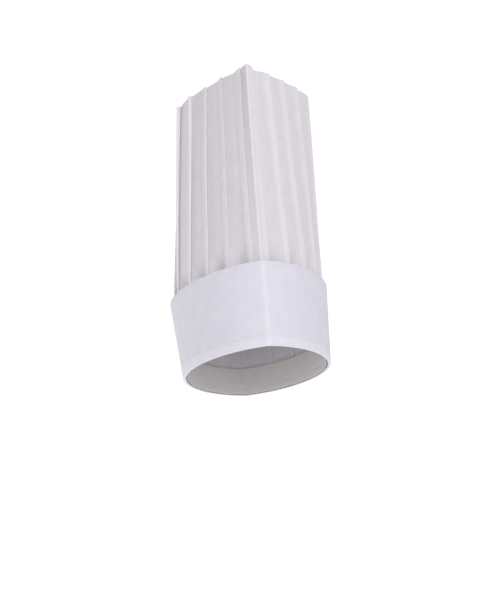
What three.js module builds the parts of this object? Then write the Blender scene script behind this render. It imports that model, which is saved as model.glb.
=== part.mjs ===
// A tall pleated chef's toque in white nonwoven cloth. Millimetres, +Z up. The origin is the middle
// of the head opening, level with the band's lower edge. -Y is the front, where the hat that is
// stored folded flat has its sharp crease, and +X is the wearer's left.
import * as THREE from "three";
import { ParametricGeometry } from "three/addons/geometries/ParametricGeometry.js";

// ---- Driving dimensions -------------------------------------------------------------------------
const HAT_HEIGHT = 350;
const BAND_HEIGHT = 92;

// Outlines in plan: width across, length front to back, and how far the outline is drawn out to its
// two creases (0 is an ellipse, 1 a diamond).
const HEAD_OUTLINE = { z: 0, width: 172, length: 203, pointed: 0.18 };
const BAND_TOP_OUTLINE = { z: BAND_HEIGHT, width: 186, length: 240, pointed: 0.2 };
const CROWN_WAIST_OUTLINE = { z: BAND_HEIGHT, width: 178, length: 227, pointed: 0.27 };
const CROWN_TOP_OUTLINE = { z: HAT_HEIGHT, width: 169, length: 192, pointed: 0.66 };
const CROWN_LEAN = 20; // how far the crown's top stands over to +X
const CROWN_TWIST = THREE.MathUtils.degToRad(-4.4); // its turn about Z, from the band to the top

// Sheets, and the clearance that keeps each from the next
const CLOTH = 0.4;
const BOARD = 0.5;
const SWEAT_CLOTH = 0.9;
const THREAD = 0.4;
const GAP = 0.3;

// The band and what is sewn into it
const HEM_TURN = 3.4; // the band's lower edge, turned in under the crown's raw edge
const HEM_LINE = 10; // height of the seam through the band, the crown and the sweatband
const BOARD_RISE = 2; // from the band's lower and upper edges to the board's
const SWEAT_HEIGHT = 36;
const LAP_SEAM = 3; // from the back crease to the seam that closes the band into a ring

// Knife pleats, all turned the same way round
const PLEATS_A_SIDE = 9; // fold edges from the front crease to the back one, which is the last
const CREASE_PANEL = 0.0365; // the front panel, folded down its middle, as a share of the girth
const SHEET_WIDTH = 860; // the flat sheet round the hat; panels and underlays share it at each height
const STEP_IN_BAND = 1.6; // how far a fold edge stands out from the panel beside it
const STEP_AT_WAIST = 3;
const STEP_AT_TOP = 5.6;
const CLIMB = 0.12; // the share of a panel over which it climbs on to its own underlay
const CROWN_HEIGHTS = [20, 40, 66, BAND_HEIGHT, 113, 135, 172, 210, 248, 285, 318, HAT_HEIGHT];
const SEAM_INSET = 4; // from the crown's back fold edge to the seam that closes the sheet

// The closing disc at the top of the crown
const TOP_DROP = 16; // how far the disc lies below the pleats' free ends
const TOP_FLANGE = 10;
const TOP_CLEARANCE = 2.4;

// The size closure at the back, in mm along the band from the back crease towards -X
const CLOSURE_HEIGHTS = [29, 63];
const ROOT_SPAN = [6, 19.6];
const TAB_SPAN = [20.4, 82];
const TAB_CLIMB = [24, 34]; // where the tab climbs from the band on to its two fastener strips
const TAB_CORNER = 9;
const LOOP_SPAN = [36, 80];
const HOOK_SPAN = [52, 77];
const STRIP = 0.6; // thickness of a fastener strip's base
const LOOP_MARGIN = 2; // from the tab's long edges to the loop strip's
const HOOK_MARGIN = 6; // and to the hook strip's, which lies inside the loop strip's stitches
const STITCH_MARGIN = 1.5; // from a piece's edge to the line of stitches that holds it

const FACETS_AROUND = 64;
const TALLEST_FACET = 30;
const PATCH_STEP = 4; // length of the flat facets along a piece that bends round the band

// ---- Finishes -----------------------------------------------------------------------------------
const finish = (color, roughness) => new THREE.MeshStandardMaterial({ color, roughness, metalness: 0 });
const FINISH = {
  crownCloth: finish("#dcd8df", 0.85),
  bandCloth: finish("#e0dee6", 0.8),
  board: finish("#e9e7e0", 0.9),
  towelling: finish("#e6e4e2", 0.95),
  thread: finish("#f0eff2", 0.6),
  hookTape: finish("#eceae8", 0.55),
  loopTape: finish("#e8e6e6", 0.9),
};

// ---- Walls on a plan outline --------------------------------------------------------------------
const mix = THREE.MathUtils.lerp;
const UP = new THREE.Vector3(0, 0, 1);

// A closed outline, counter-clockwise from its front crease: an ellipse and a diamond mixed.
class FoldedOval extends THREE.Curve {
  constructor(width, length, pointed) {
    super();
    Object.assign(this, { width, length, pointed, arcLengthDivisions: 720 });
  }

  getPoint(t, target = new THREE.Vector3()) {
    const across = Math.sin(2 * Math.PI * t);
    const along = Math.cos(2 * Math.PI * t);
    const reach = (1 - this.pointed) * Math.abs(along) + this.pointed * (1 - Math.abs(across));
    return target.set((this.width / 2) * across, (-this.length / 2) * Math.sign(along) * reach, 0);
  }
}

// A wall that runs straight from each plan outline to the next. A place on it is a share of the girth
// counter-clockwise from the front crease, a distance outwards, and a height.
class OvalWall {
  constructor(outlines, lean = 0, twist = 0) {
    Object.assign(this, { outlines, lean, twist, ovals: new Map() });
  }

  oval(z, out) {
    const key = `${z}/${out}`;
    if (!this.ovals.has(key)) {
      const found = this.outlines.findIndex((outline, i) => i > 0 && z <= outline.z);
      const [low, high] = [this.outlines[found - 1], this.outlines[found]];
      const f = (z - low.z) / (high.z - low.z);
      const width = mix(low.width, high.width, f) + 2 * out;
      const length = mix(low.length, high.length, f) + 2 * out;
      this.ovals.set(key, new FoldedOval(width, length, mix(low.pointed, high.pointed, f)));
    }
    return this.ovals.get(key);
  }

  girth(z) {
    return this.oval(z, 0).getLength();
  }

  // Carries a point of a plan outline up to its height, with the lean and twist that belong there.
  raise(point, z) {
    const f = Math.max(0, (z - BAND_HEIGHT) / (HAT_HEIGHT - BAND_HEIGHT));
    point.applyAxisAngle(UP, this.twist * f);
    return point.set(point.x + this.lean * f, point.y, z);
  }

  place(share, out, z, target) {
    this.oval(z, out).getPointAt(THREE.MathUtils.euclideanModulo(share, 1), target);
    return this.raise(target, z);
  }
}

const CROWN_INSET = 2 * CLOTH + BOARD + 3 * GAP + CLOTH / 2; // the band's face to the crown's middle
const CROWN_FOOT_OUTLINE = {
  ...HEAD_OUTLINE,
  width: HEAD_OUTLINE.width - 2 * CROWN_INSET,
  length: HEAD_OUTLINE.length - 2 * CROWN_INSET,
};
const bandWall = new OvalWall([HEAD_OUTLINE, BAND_TOP_OUTLINE]);
const crownWall = new OvalWall(
  [CROWN_FOOT_OUTLINE, CROWN_WAIST_OUTLINE, CROWN_TOP_OUTLINE],
  CROWN_LEAN,
  CROWN_TWIST,
);

// ---- Solids that follow a wall ------------------------------------------------------------------

// A ring round a wall. Its section is a closed outline of [distance outwards, height] corners, listed
// up the outside and down the inside. A tall side is split, so that its facets twist less.
function ring(wall, corners) {
  const section = corners.flatMap(([out, z], i) => {
    const [nextOut, nextZ] = corners[(i + 1) % corners.length];
    const steps = Math.max(1, Math.round(Math.abs(nextZ - z) / TALLEST_FACET));
    return Array.from({ length: steps }, (_, k) => [mix(out, nextOut, k / steps), mix(z, nextZ, k / steps)]);
  });
  const at = (u, v, target) => {
    const [out, z] = section[Math.round(v * section.length) % section.length];
    wall.place(u, out, z, target);
  };
  return new ParametricGeometry(at, FACETS_AROUND, section.length);
}

function ringBetween(wall, [out0, out1], [z0, z1]) {
  return ring(wall, [[out1, z0], [out1, z1], [out0, z1], [out0, z0]]);
}

// Bends a flat piece on to the band at the back: its x is mm along the band from the back crease, its
// y is height and its z is distance outwards.
function bendOntoBand(geometry) {
  const position = geometry.getAttribute("position");
  const place = new THREE.Vector3();
  for (let i = 0; i < position.count; i++) {
    const [x, y, z] = [position.getX(i), position.getY(i), position.getZ(i)];
    bandWall.place(0.5 + x / bandWall.girth(y), z, y, place);
    position.setXYZ(i, place.x, place.y, place.z);
  }
  return geometry;
}

// A flat rectangular piece, cut into short lengths so that it bends.
function patch([x0, x1], [y0, y1], [z0, z1]) {
  const facets = Math.ceil((x1 - x0) / PATCH_STEP);
  const box = new THREE.BoxGeometry(x1 - x0, y1 - y0, z1 - z0, facets, 2, 1);
  return box.translate((x0 + x1) / 2, (y0 + y1) / 2, (z0 + z1) / 2);
}

// A loop of thread, square in section, round a rectangle that stands at a distance from the band.
function threadLoop([x0, x1], [y0, y1], out) {
  const alongSteps = Math.ceil((x1 - x0) / PATCH_STEP);
  const upSteps = Math.ceil((y1 - y0) / PATCH_STEP);
  const stops = [];
  for (let i = 0; i < alongSteps; i++) stops.push([i / alongSteps, 0]);
  for (let i = 0; i < upSteps; i++) stops.push([1, i / upSteps]);
  for (let i = 0; i < alongSteps; i++) stops.push([1 - i / alongSteps, 1]);
  for (let i = 0; i < upSteps; i++) stops.push([0, 1 - i / upSteps]);
  const half = THREAD / 2;
  const square = [[half, 0], [half, THREAD], [-half, THREAD], [-half, 0]];
  const at = (u, v, target) => {
    const [fx, fy] = stops[Math.round(u * stops.length) % stops.length];
    const [grow, up] = square[Math.round(v * square.length) % square.length];
    target.set(mix(x0 - grow, x1 + grow, fx), mix(y0 - grow, y1 + grow, fy), out + up);
  };
  return new ParametricGeometry(at, stops.length, square.length);
}

const inset = ([low, high], margin) => [low + margin, high - margin];

// Splits some of the quads of a grid along their other diagonal, so that the two faces of a sheet, and
// the plies folded on to each other, twist alike and don't cut through one another.
function turnDiagonals(geometry, columns, isTurned) {
  const index = geometry.getIndex();
  for (let quad = 0; quad < index.count / 6; quad++) {
    if (!isTurned(quad % columns, Math.floor(quad / columns))) continue;
    const [a, b, d, , c] = index.array.slice(6 * quad, 6 * quad + 5);
    index.array.set([a, b, c, a, c, d], 6 * quad);
  }
  return geometry;
}

// ---- The pleated crown --------------------------------------------------------------------------

// How far a fold edge stands out from the panel beside it, at a height.
function pleatStep(z) {
  if (z <= BAND_HEIGHT) return mix(STEP_IN_BAND, STEP_AT_WAIST, (z / BAND_HEIGHT) ** 3);
  return mix(STEP_AT_WAIST, STEP_AT_TOP, (z - BAND_HEIGHT) / (HAT_HEIGHT - BAND_HEIGHT));
}

// The hidden part of a pleat at a height, from its fold edge back to its inner fold, as a share of
// the girth.
function underlay(z) {
  const girth = crownWall.girth(z);
  return (SHEET_WIDTH - girth) / (2 * PLEATS_A_SIDE + 1) / 2 / girth;
}

// The middle line of the pleated cloth at a height, as [share of the girth, distance outwards]. Each
// pleat leaves its hidden inner fold, comes out under the last fold edge, runs low along its panel,
// climbs on to its own underlay and turns back at its fold edge.
function pleatLine(z) {
  const pitch = (1 - CREASE_PANEL) / (2 * PLEATS_A_SIDE);
  const hidden = underlay(z);
  const step = pleatStep(z);
  const line = [
    [-CREASE_PANEL / 2 - hidden, -0.62 * step],
    [-CREASE_PANEL / 2, -step],
    [0, -0.08 * step],
    [CREASE_PANEL / 2, 0],
  ];
  for (let pleat = 1; pleat <= 2 * PLEATS_A_SIDE; pleat++) {
    const edge = CREASE_PANEL / 2 + pleat * pitch;
    const last = edge - pitch;
    const climb = edge - hidden - CLIMB * pitch;
    line.push([last - hidden, -0.62 * step]);
    line.push([last, -step]);
    line.push([mix(last, climb, 0.5), -0.97 * step]);
    line.push([climb, -0.92 * step]);
    line.push([edge - hidden, -0.25 * step]);
    line.push([edge, 0]);
  }
  return line;
}

// The pleated sheet: its middle line at each height, moved half its thickness to either side.
function pleatedSheet() {
  const rows = [CLOTH + 2 * GAP, ...CROWN_HEIGHTS].map((z) => {
    const girth = crownWall.girth(z);
    const line = pleatLine(z).map(([share, out]) => new THREE.Vector2(share * girth, out));
    return line.map((point, i) => {
      const next = line[(i + 1) % line.length].clone();
      const last = line.at(i - 1).clone();
      if (i === line.length - 1) next.x += girth;
      if (i === 0) last.x -= girth;
      const heading = next.sub(point).normalize().add(point.clone().sub(last).normalize());
      const outwards = new THREE.Vector2(-heading.y, heading.x).setLength(CLOTH / 2);
      return { z, girth, point, outwards };
    });
  });
  const columns = rows[0].length;
  const outside = rows.map((row) => ({ row, side: 1 }));
  const inside = rows.map((row) => ({ row, side: -1 })).reverse();
  const walls = [...outside, ...inside];
  const at = (u, v, target) => {
    const { row, side } = walls[Math.round(v * walls.length) % walls.length];
    const { z, girth, point, outwards } = row[Math.round(u * columns) % columns];
    const share = (point.x + side * outwards.x) / girth;
    crownWall.place(share, point.y + side * outwards.y, z, target);
  };
  const runsBack = (column) => rows[0][(column + 1) % columns].point.x < rows[0][column].point.x;
  const isInside = (wall) => wall >= rows.length;
  const turned = (column, wall) => isInside(wall) !== (runsBack(column) && column < columns - 1);
  return turnDiagonals(new ParametricGeometry(at, columns, walls.length), columns, turned);
}

// The closing disc: a shallow tray with its flange turned down inside the pleats.
function closingDisc() {
  const high = HAT_HEIGHT - TOP_DROP;
  const rim = -pleatStep(high) - CLOTH / 2 - TOP_CLEARANCE;
  const section = [
    [null, high - CLOTH],
    [rim - CLOTH, high - CLOTH],
    [rim - CLOTH, high - TOP_FLANGE],
    [rim, high - TOP_FLANGE],
    [rim, high],
    [null, high],
  ];
  const at = (u, v, target) => {
    const [out, z] = section[Math.round(v * (section.length - 1))];
    if (out === null) crownWall.raise(target.set(0, 0, 0), z);
    else crownWall.place(u, out, z, target);
  };
  return new ParametricGeometry(at, FACETS_AROUND, section.length - 1);
}

// The thread that closes the crown's sheet, up the back beside the last fold edge.
function crownSeamThread() {
  const heights = CROWN_HEIGHTS.slice(CROWN_HEIGHTS.indexOf(BAND_HEIGHT));
  const spans = heights.length - 1;
  const rod = new THREE.BoxGeometry(THREAD, spans, THREAD, 1, spans, 1);
  const position = rod.getAttribute("position");
  const place = new THREE.Vector3();
  for (let i = 0; i < position.count; i++) {
    const row = Math.round(position.getY(i) + spans / 2);
    const z = heights[row];
    const girth = crownWall.girth(z);
    const fall = (0.25 * pleatStep(z) * SEAM_INSET) / (underlay(z) * girth);
    const share = 0.5 + (position.getX(i) - SEAM_INSET) / girth;
    crownWall.place(share, position.getZ(i) - fall + (CLOTH + THREAD) / 2 + GAP, z, place);
    position.setXYZ(i, place.x, place.y, row === spans ? z - GAP : row === 0 ? z + GAP : z);
  }
  return rod;
}

// ---- The band -----------------------------------------------------------------------------------

// One strip folded over at the top, so that it has an outer and an inner ply with room for the board
// between them, and turned in along its lower edge.
function foldedBand() {
  const innerPly = -(CLOTH + BOARD + 2 * GAP);
  return ring(bandWall, [
    [0, 0],
    [0, BAND_HEIGHT],
    [innerPly - CLOTH, BAND_HEIGHT],
    [innerPly - CLOTH, CLOTH + 3 * GAP],
    [innerPly, CLOTH + 3 * GAP],
    [innerPly, BAND_HEIGHT - CLOTH],
    [-CLOTH, BAND_HEIGHT - CLOTH],
    [-CLOTH, CLOTH],
    [-HEM_TURN, CLOTH],
    [-HEM_TURN, 0],
  ]);
}

function sweatband() {
  const face = -pleatStep(SWEAT_HEIGHT) - CLOTH / 2 - 2 * GAP;
  return ringBetween(crownWall, [face - SWEAT_CLOTH, face], [CLOTH + 2 * GAP, SWEAT_HEIGHT]);
}

// ---- The size closure ---------------------------------------------------------------------------

const LOOP_OUT = [GAP, GAP + STRIP];
const HOOK_OUT = [LOOP_OUT[1] + GAP, LOOP_OUT[1] + GAP + STRIP];
const TAB_RISE = HOOK_OUT[1]; // the tab's climb from where it lies on the band

// The tab: flat on the band at its root, climbing on to the fastener strips, with a round-cornered tip.
function closureTab() {
  const geometry = patch(TAB_SPAN, CLOSURE_HEIGHTS, [GAP, GAP + CLOTH]);
  const position = geometry.getAttribute("position");
  const [low, high] = CLOSURE_HEIGHTS;
  const middle = (low + high) / 2;
  const cornerStart = TAB_SPAN[1] - TAB_CORNER;
  for (let i = 0; i < position.count; i++) {
    const x = position.getX(i);
    const intoCorner = Math.max(0, x - cornerStart);
    const taken = TAB_CORNER - Math.sqrt(Math.max(0, TAB_CORNER ** 2 - intoCorner ** 2));
    const narrowing = 1 - taken / (middle - low);
    const rise = TAB_RISE * THREE.MathUtils.smoothstep(x, ...TAB_CLIMB);
    position.setY(i, middle + (position.getY(i) - middle) * narrowing);
    position.setZ(i, position.getZ(i) + rise);
  }
  return geometry;
}

// ---- Assembly -----------------------------------------------------------------------------------
const loopHeights = inset(CLOSURE_HEIGHTS, LOOP_MARGIN);
const hookHeights = inset(CLOSURE_HEIGHTS, HOOK_MARGIN);
const stitched = (span, heights, out) =>
  bendOntoBand(threadLoop(inset(span, STITCH_MARGIN), inset(heights, STITCH_MARGIN), out));

const PIECES = {
  crown_wall: [pleatedSheet(), FINISH.crownCloth],
  crown_top: [closingDisc(), FINISH.crownCloth],
  crown_seam_thread: [crownSeamThread(), FINISH.thread],
  band_cover: [foldedBand(), FINISH.bandCloth],
  band_stiffener: [
    ringBetween(bandWall, [-CLOTH - GAP - BOARD, -CLOTH - GAP], [BOARD_RISE, BAND_HEIGHT - BOARD_RISE]),
    FINISH.board,
  ],
  sweatband: [sweatband(), FINISH.towelling],
  hem_thread: [
    ringBetween(bandWall, [GAP, GAP + THREAD], [HEM_LINE - THREAD / 2, HEM_LINE + THREAD / 2]),
    FINISH.thread,
  ],
  band_lap_thread: [
    bendOntoBand(patch([LAP_SEAM, LAP_SEAM + THREAD], inset([HEM_LINE, BAND_HEIGHT], 2), [GAP, GAP + THREAD])),
    FINISH.thread,
  ],
  closure_root: [bendOntoBand(patch(ROOT_SPAN, CLOSURE_HEIGHTS, [GAP, GAP + CLOTH])), FINISH.bandCloth],
  closure_root_thread: [stitched(ROOT_SPAN, CLOSURE_HEIGHTS, 2 * GAP + CLOTH), FINISH.thread],
  loop_strip: [bendOntoBand(patch(LOOP_SPAN, loopHeights, LOOP_OUT)), FINISH.loopTape],
  loop_strip_thread: [stitched(LOOP_SPAN, loopHeights, LOOP_OUT[1] + GAP), FINISH.thread],
  closure_tab: [bendOntoBand(closureTab()), FINISH.bandCloth],
  hook_strip: [bendOntoBand(patch(HOOK_SPAN, hookHeights, HOOK_OUT)), FINISH.hookTape],
  hook_strip_thread: [stitched(HOOK_SPAN, hookHeights, 2 * GAP + CLOTH + TAB_RISE), FINISH.thread],
};

const toque = new THREE.Group();
for (const [name, [geometry, material]] of Object.entries(PIECES)) {
  const mesh = new THREE.Mesh(geometry, material);
  mesh.name = name;
  toque.add(mesh);
}

export default toque;
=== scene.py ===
"""The looks of a tall knife-pleated chef's toque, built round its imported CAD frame.

The crown is one sheet of nonwoven cloth, folded into nineteen knife pleats. A smooth band stands
round its foot, with a board between its plies. Inside are a sweatband and, near the top, a closing
disc. A tab at the back sets the size with a strip of hooks on a strip of loops.

Sizes in the classes are in millimetres, and meshes are in metres, in the frame's own axes: +Z up,
-Y to the front, where the hat that is stored folded flat has its crease.
"""

import logging
import math
from collections.abc import Callable, Sequence
from dataclasses import dataclass, field
from enum import Enum

import bmesh
import bpy
import numpy as np
from mathutils import Matrix, Vector


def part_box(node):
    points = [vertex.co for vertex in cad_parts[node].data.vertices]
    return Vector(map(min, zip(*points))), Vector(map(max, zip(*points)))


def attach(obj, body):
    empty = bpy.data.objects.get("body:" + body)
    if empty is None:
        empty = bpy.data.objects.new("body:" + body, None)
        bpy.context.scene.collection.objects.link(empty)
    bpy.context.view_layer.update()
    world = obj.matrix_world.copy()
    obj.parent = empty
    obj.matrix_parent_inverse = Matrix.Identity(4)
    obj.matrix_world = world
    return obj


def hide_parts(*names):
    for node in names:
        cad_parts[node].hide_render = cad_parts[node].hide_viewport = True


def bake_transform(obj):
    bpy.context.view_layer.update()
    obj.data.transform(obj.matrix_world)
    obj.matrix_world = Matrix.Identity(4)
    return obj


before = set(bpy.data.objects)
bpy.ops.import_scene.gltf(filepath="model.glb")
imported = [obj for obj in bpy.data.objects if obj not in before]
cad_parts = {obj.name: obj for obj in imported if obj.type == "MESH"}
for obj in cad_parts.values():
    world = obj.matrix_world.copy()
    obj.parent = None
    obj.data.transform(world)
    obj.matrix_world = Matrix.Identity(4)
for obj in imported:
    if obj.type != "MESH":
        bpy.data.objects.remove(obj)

LOG = logging.getLogger("toque")
Array = np.ndarray
Socket = bpy.types.NodeSocket
Sockets = dict[str | int, Socket]
Span = tuple[float, float]
OutAt = Callable[[Array], Array]  # distance outwards, in mm, at each place along a wall
MM = 0.001


def mm_of(node: str, corner: int) -> Vector:
    """The lowest (0) or highest (1) corner of a CAD node, in mm."""
    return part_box(node)[corner] / MM


BAND_HEIGHT = mm_of("band_cover", 1).z
HAT_HEIGHT = mm_of("crown_wall", 1).z
SHARP_FOLD = math.radians(50)
WELD = 1e-7
CREASES = (0.0, 0.5)
# How far from a crease the closer stations beside it lie, in mm.
CREASE_STATIONS = (-5, -3.4, -2.4, -1.7, -1.1, -0.5, 0, 0.5, 1.1, 1.7, 2.4, 3.4, 5)


# ---- Plan outlines and the walls on them ---------------------------------------------------------


@dataclass(frozen=True)
class Outline:
    """A plan outline of the hat at one height, in mm.

    It is an ellipse and a diamond mixed, so that it comes to a crease at the front and the back.
    """

    height: float
    width: float
    length: float
    pointed: float


@dataclass
class OvalWall:
    """A wall that runs straight from each plan outline to the next, leaning and twisting above the band."""

    outlines: tuple[Outline, ...]
    crease_radius: float
    lean: float = 0.0
    twist: float = 0.0
    samples: int = 1440
    levels_a_span: int = 17
    levels: Array = field(init=False)
    girths: Array = field(init=False)
    turns: Array = field(init=False)

    def __post_init__(self) -> None:
        """Tabulates where each share of the girth lies on the outlines."""
        stops = [outline.height for outline in self.outlines]
        spans = [np.linspace(low, high, self.levels_a_span) for low, high in zip(stops[:-1], stops[1:])]
        self.levels = np.unique(np.concatenate(spans))
        turn = np.linspace(0, 1, self.samples + 1)
        x, y = self.oval(turn[None, :], 0.0, self.levels[:, None])
        runs = np.cumsum(np.hypot(np.diff(x), np.diff(y)), axis=1)
        lengths = np.pad(runs, ((0, 0), (1, 0)))
        self.girths = lengths[:, -1]
        self.turns = np.array([np.interp(turn, row / row[-1], turn) for row in lengths])

    def measure(self, name: str, z: Array) -> Array:
        """One of the outlines' sizes at each height."""
        return np.interp(z, [o.height for o in self.outlines], [getattr(o, name) for o in self.outlines])

    def oval(self, turn: Array, out: Array | float, z: Array) -> tuple[Array, Array]:
        """Points on the outlines.

        Args:
            turn: The curve's own parameter, 0 to 1 counter-clockwise from the front crease.
            out: Distance outwards, in mm.
            z: Height, in mm.

        Returns:
            The x and the y of each point, in mm, before the lean and the twist.
        """
        across, along = np.sin(2 * np.pi * turn), np.cos(2 * np.pi * turn)
        pointed = self.measure("pointed", z)
        reach = (1 - pointed) * np.abs(along) + pointed * (1 - np.abs(across))
        x = (self.measure("width", z) / 2 + out) * across
        y = -(self.measure("length", z) / 2 + out) * np.sign(along) * reach
        return x, y

    def girth(self, z: Array | float) -> Array:
        """The length round the wall at each height, in mm."""
        return np.interp(z, self.levels, self.girths)

    def sharp(self, share: Array, out: Array, z: Array) -> Array:
        """Places on the wall with its creases sharp.

        Args:
            share: Share of the girth, counter-clockwise from the front crease.
            out: Distance outwards, in mm.
            z: Height, in mm.

        Returns:
            The points in metres.
        """
        level = np.clip(np.searchsorted(self.levels, z) - 1, 0, len(self.levels) - 2)
        rise = np.clip((z - self.levels[level]) / (self.levels[level + 1] - self.levels[level]), 0, 1)
        along = np.mod(share, 1) * self.samples
        sample = np.minimum(along.astype(int), self.samples - 1)
        part = along - sample
        low = self.turns[level, sample] * (1 - part) + self.turns[level, sample + 1] * part
        high = self.turns[level + 1, sample] * (1 - part) + self.turns[level + 1, sample + 1] * part
        x, y = self.oval(low + (high - low) * rise, out, z)
        raised = np.maximum(0, (z - BAND_HEIGHT) / (HAT_HEIGHT - BAND_HEIGHT))
        angle = self.twist * raised
        turned = np.cos(angle) * x - np.sin(angle) * y + self.lean * raised
        return MM * np.stack([turned, np.sin(angle) * x + np.cos(angle) * y, z], axis=-1)

    def place(self, share: Array | float, out: Array | float, z: Array | float) -> Array:
        """Places on the wall.

        Args:
            share: Share of the girth, counter-clockwise from the front crease.
            out: Distance outwards, in mm.
            z: Height, in mm.

        Returns:
            The points in metres, with the two creases rounded to the crease radius.
        """
        share, out, z = (np.array(a, float) for a in np.broadcast_arrays(share, out, z))
        points = self.sharp(share, out, z)
        girth = self.girth(z)
        away = (np.mod(share + 0.25, 0.5) - 0.25) * girth
        crease, reach = share - away / girth, self.crease_radius / girth
        before, top, after = (self.sharp(crease + k * reach, out, z) for k in (-1, 0, 1))
        t = np.clip((away / self.crease_radius + 1) / 2, 0, 1)[..., None]
        bent = (1 - t) ** 2 * before + 2 * t * (1 - t) * top + t**2 * after
        return np.where((np.abs(away) < self.crease_radius)[..., None], bent, points)

    def from_back(self, along: Array | float, out: Array | float, z: Array | float) -> Array:
        """Places given by mm along the wall from the back crease towards -X, instead of a share."""
        return self.place(0.5 + np.asarray(along) / self.girth(z), out, z)


@dataclass(frozen=True)
class Ripple:
    """Soft unevenness of a wall: a few waves that close on themselves round the girth."""

    amplitude: float
    fewest: int
    most: int
    seed: int
    slant: float = 0.004
    count: int = 6

    def at(self, share: Array, z: Array) -> Array:
        """The unevenness at each share and height.

        Args:
            share: Share of the girth, counter-clockwise from the front crease.
            z: Height, in mm.

        Returns:
            The distances, in mm.
        """
        rng = np.random.default_rng(self.seed)
        total = np.zeros(np.broadcast(share, z).shape)
        for _ in range(self.count):
            waves, phase = rng.integers(self.fewest, self.most + 1), rng.uniform(0, 2 * np.pi)
            slant, part = rng.uniform(-self.slant, self.slant), rng.uniform(0.4, 1)
            total = total + part * np.sin(2 * np.pi * (waves * share + slant * z) + phase)
        return total * self.amplitude / math.sqrt(self.count)


HEAD = Outline(height=0, width=172, length=203, pointed=0.18)
BAND_TOP = Outline(height=BAND_HEIGHT, width=186, length=240, pointed=0.2)
CROWN_INSET = 2.4
CROWN_FOOT = Outline(0, HEAD.width - 2 * CROWN_INSET, HEAD.length - 2 * CROWN_INSET, HEAD.pointed)
CROWN_WAIST = Outline(height=BAND_HEIGHT, width=178, length=227, pointed=0.27)
CROWN_TOP = Outline(height=HAT_HEIGHT, width=169, length=192, pointed=0.66)
CROWN_LEAN = 20.0
CROWN_TWIST = math.radians(-4.4)
THREAD_PROUD = 0.08  # how far the middle of a stitch lies above the cloth, in mm


# ---- Meshes ---------------------------------------------------------------------------------------


def finished(name: str, mesh: bpy.types.Mesh, material: bpy.types.Material) -> bpy.types.Object:
    """Makes a mesh into an object at the origin: welded, smooth between sharp folds, and dressed.

    Args:
        name: The piece's name.
        mesh: Its mesh, in the frame's axes.
        material: Its finish.

    Returns:
        The new object.
    """
    shape = bmesh.new()
    shape.from_mesh(mesh)
    bmesh.ops.remove_doubles(shape, verts=shape.verts, dist=WELD)
    shape.to_mesh(mesh)
    shape.free()
    mesh.name = name
    mesh.materials.clear()
    mesh.materials.append(material)
    mesh.shade_smooth()
    mesh.set_sharp_from_angle(angle=SHARP_FOLD)
    piece = bpy.data.objects.new(name, mesh)
    bpy.context.scene.collection.objects.link(piece)
    return piece


def grid_mesh(
    name: str,
    points: Array,
    uv: Array,
    marks: dict[str, Array] | None = None,
    ring: bool = True,
    loop: bool = True,
) -> bpy.types.Mesh:
    """A mesh of quads on a grid of points.

    Args:
        name: The mesh's name.
        points: The grid, as rows x columns x 3, in metres. Rows run up the outer face of a wall.
        uv: Places on the flat cloth, as (rows + 1) x (columns + 1) x 2, in metres.
        marks: Point attributes, each as rows x columns.
        ring: Whether the last column joins the first.
        loop: Whether the last row joins the first.

    Returns:
        The mesh, with the UV map and the attributes.
    """
    rows, columns = points.shape[:2]
    r, c = np.meshgrid(np.arange(rows - (not loop)), np.arange(columns - (not ring)), indexing="ij")
    r, c = r.ravel(), c.ravel()
    corners = [(r, c), (r, c + 1), (r + 1, c + 1), (r + 1, c)]
    faces = np.stack([(i % rows) * columns + j % columns for i, j in corners], axis=1)
    mesh = bpy.data.meshes.new(name)
    mesh.from_pydata(points.reshape(-1, 3), [], faces.tolist())
    layer = mesh.uv_layers.new(name="cloth")
    flat = np.stack([uv[i, j] for i, j in corners], axis=1)
    layer.data.foreach_set("uv", flat.astype(np.float32).ravel())
    for mark, values in (marks or {}).items():
        attribute = mesh.attributes.new(mark, "FLOAT", "POINT")
        spread = np.broadcast_to(values, (rows, columns)).astype(np.float32)
        attribute.data.foreach_set("value", spread.ravel())
    return mesh


def wrapped(values: Array, lap: Array | float, axis: int) -> Array:
    """Values with the first one repeated at the end, a lap further on."""
    return np.concatenate([values, np.take(values, [0], axis=axis) + lap], axis=axis)


def section_loop(corners: Sequence[tuple[float, float]], longest: float) -> Array:
    """A closed section with its long sides split, so that it can bend and ripple.

    Args:
        corners: (distance outwards, height), in mm, up the outside and down the inside.
        longest: The longest side left whole, in mm.

    Returns:
        The section's points, as n x 2.
    """
    found = []
    for (out0, z0), (out1, z1) in zip(corners, [*corners[1:], corners[0]]):
        steps = max(1, round(math.hypot(out1 - out0, z1 - z0) / longest))
        found += [(out0 + (out1 - out0) * k / steps, z0 + (z1 - z0) * k / steps) for k in range(steps)]
    return np.array(found)


def stations(girth: float, spacing: float) -> Array:
    """Shares of the girth at an even spacing in mm, and closer beside the creases.

    Args:
        girth: The girth, in mm.
        spacing: The even spacing, in mm.

    Returns:
        The shares, from 0 up.
    """
    close = np.array(CREASE_STATIONS) / girth
    beside = [np.mod(crease + close, 1) for crease in CREASES]
    return np.unique(np.concatenate([np.arange(0, 1, spacing / girth), *beside]).round(7))


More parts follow.
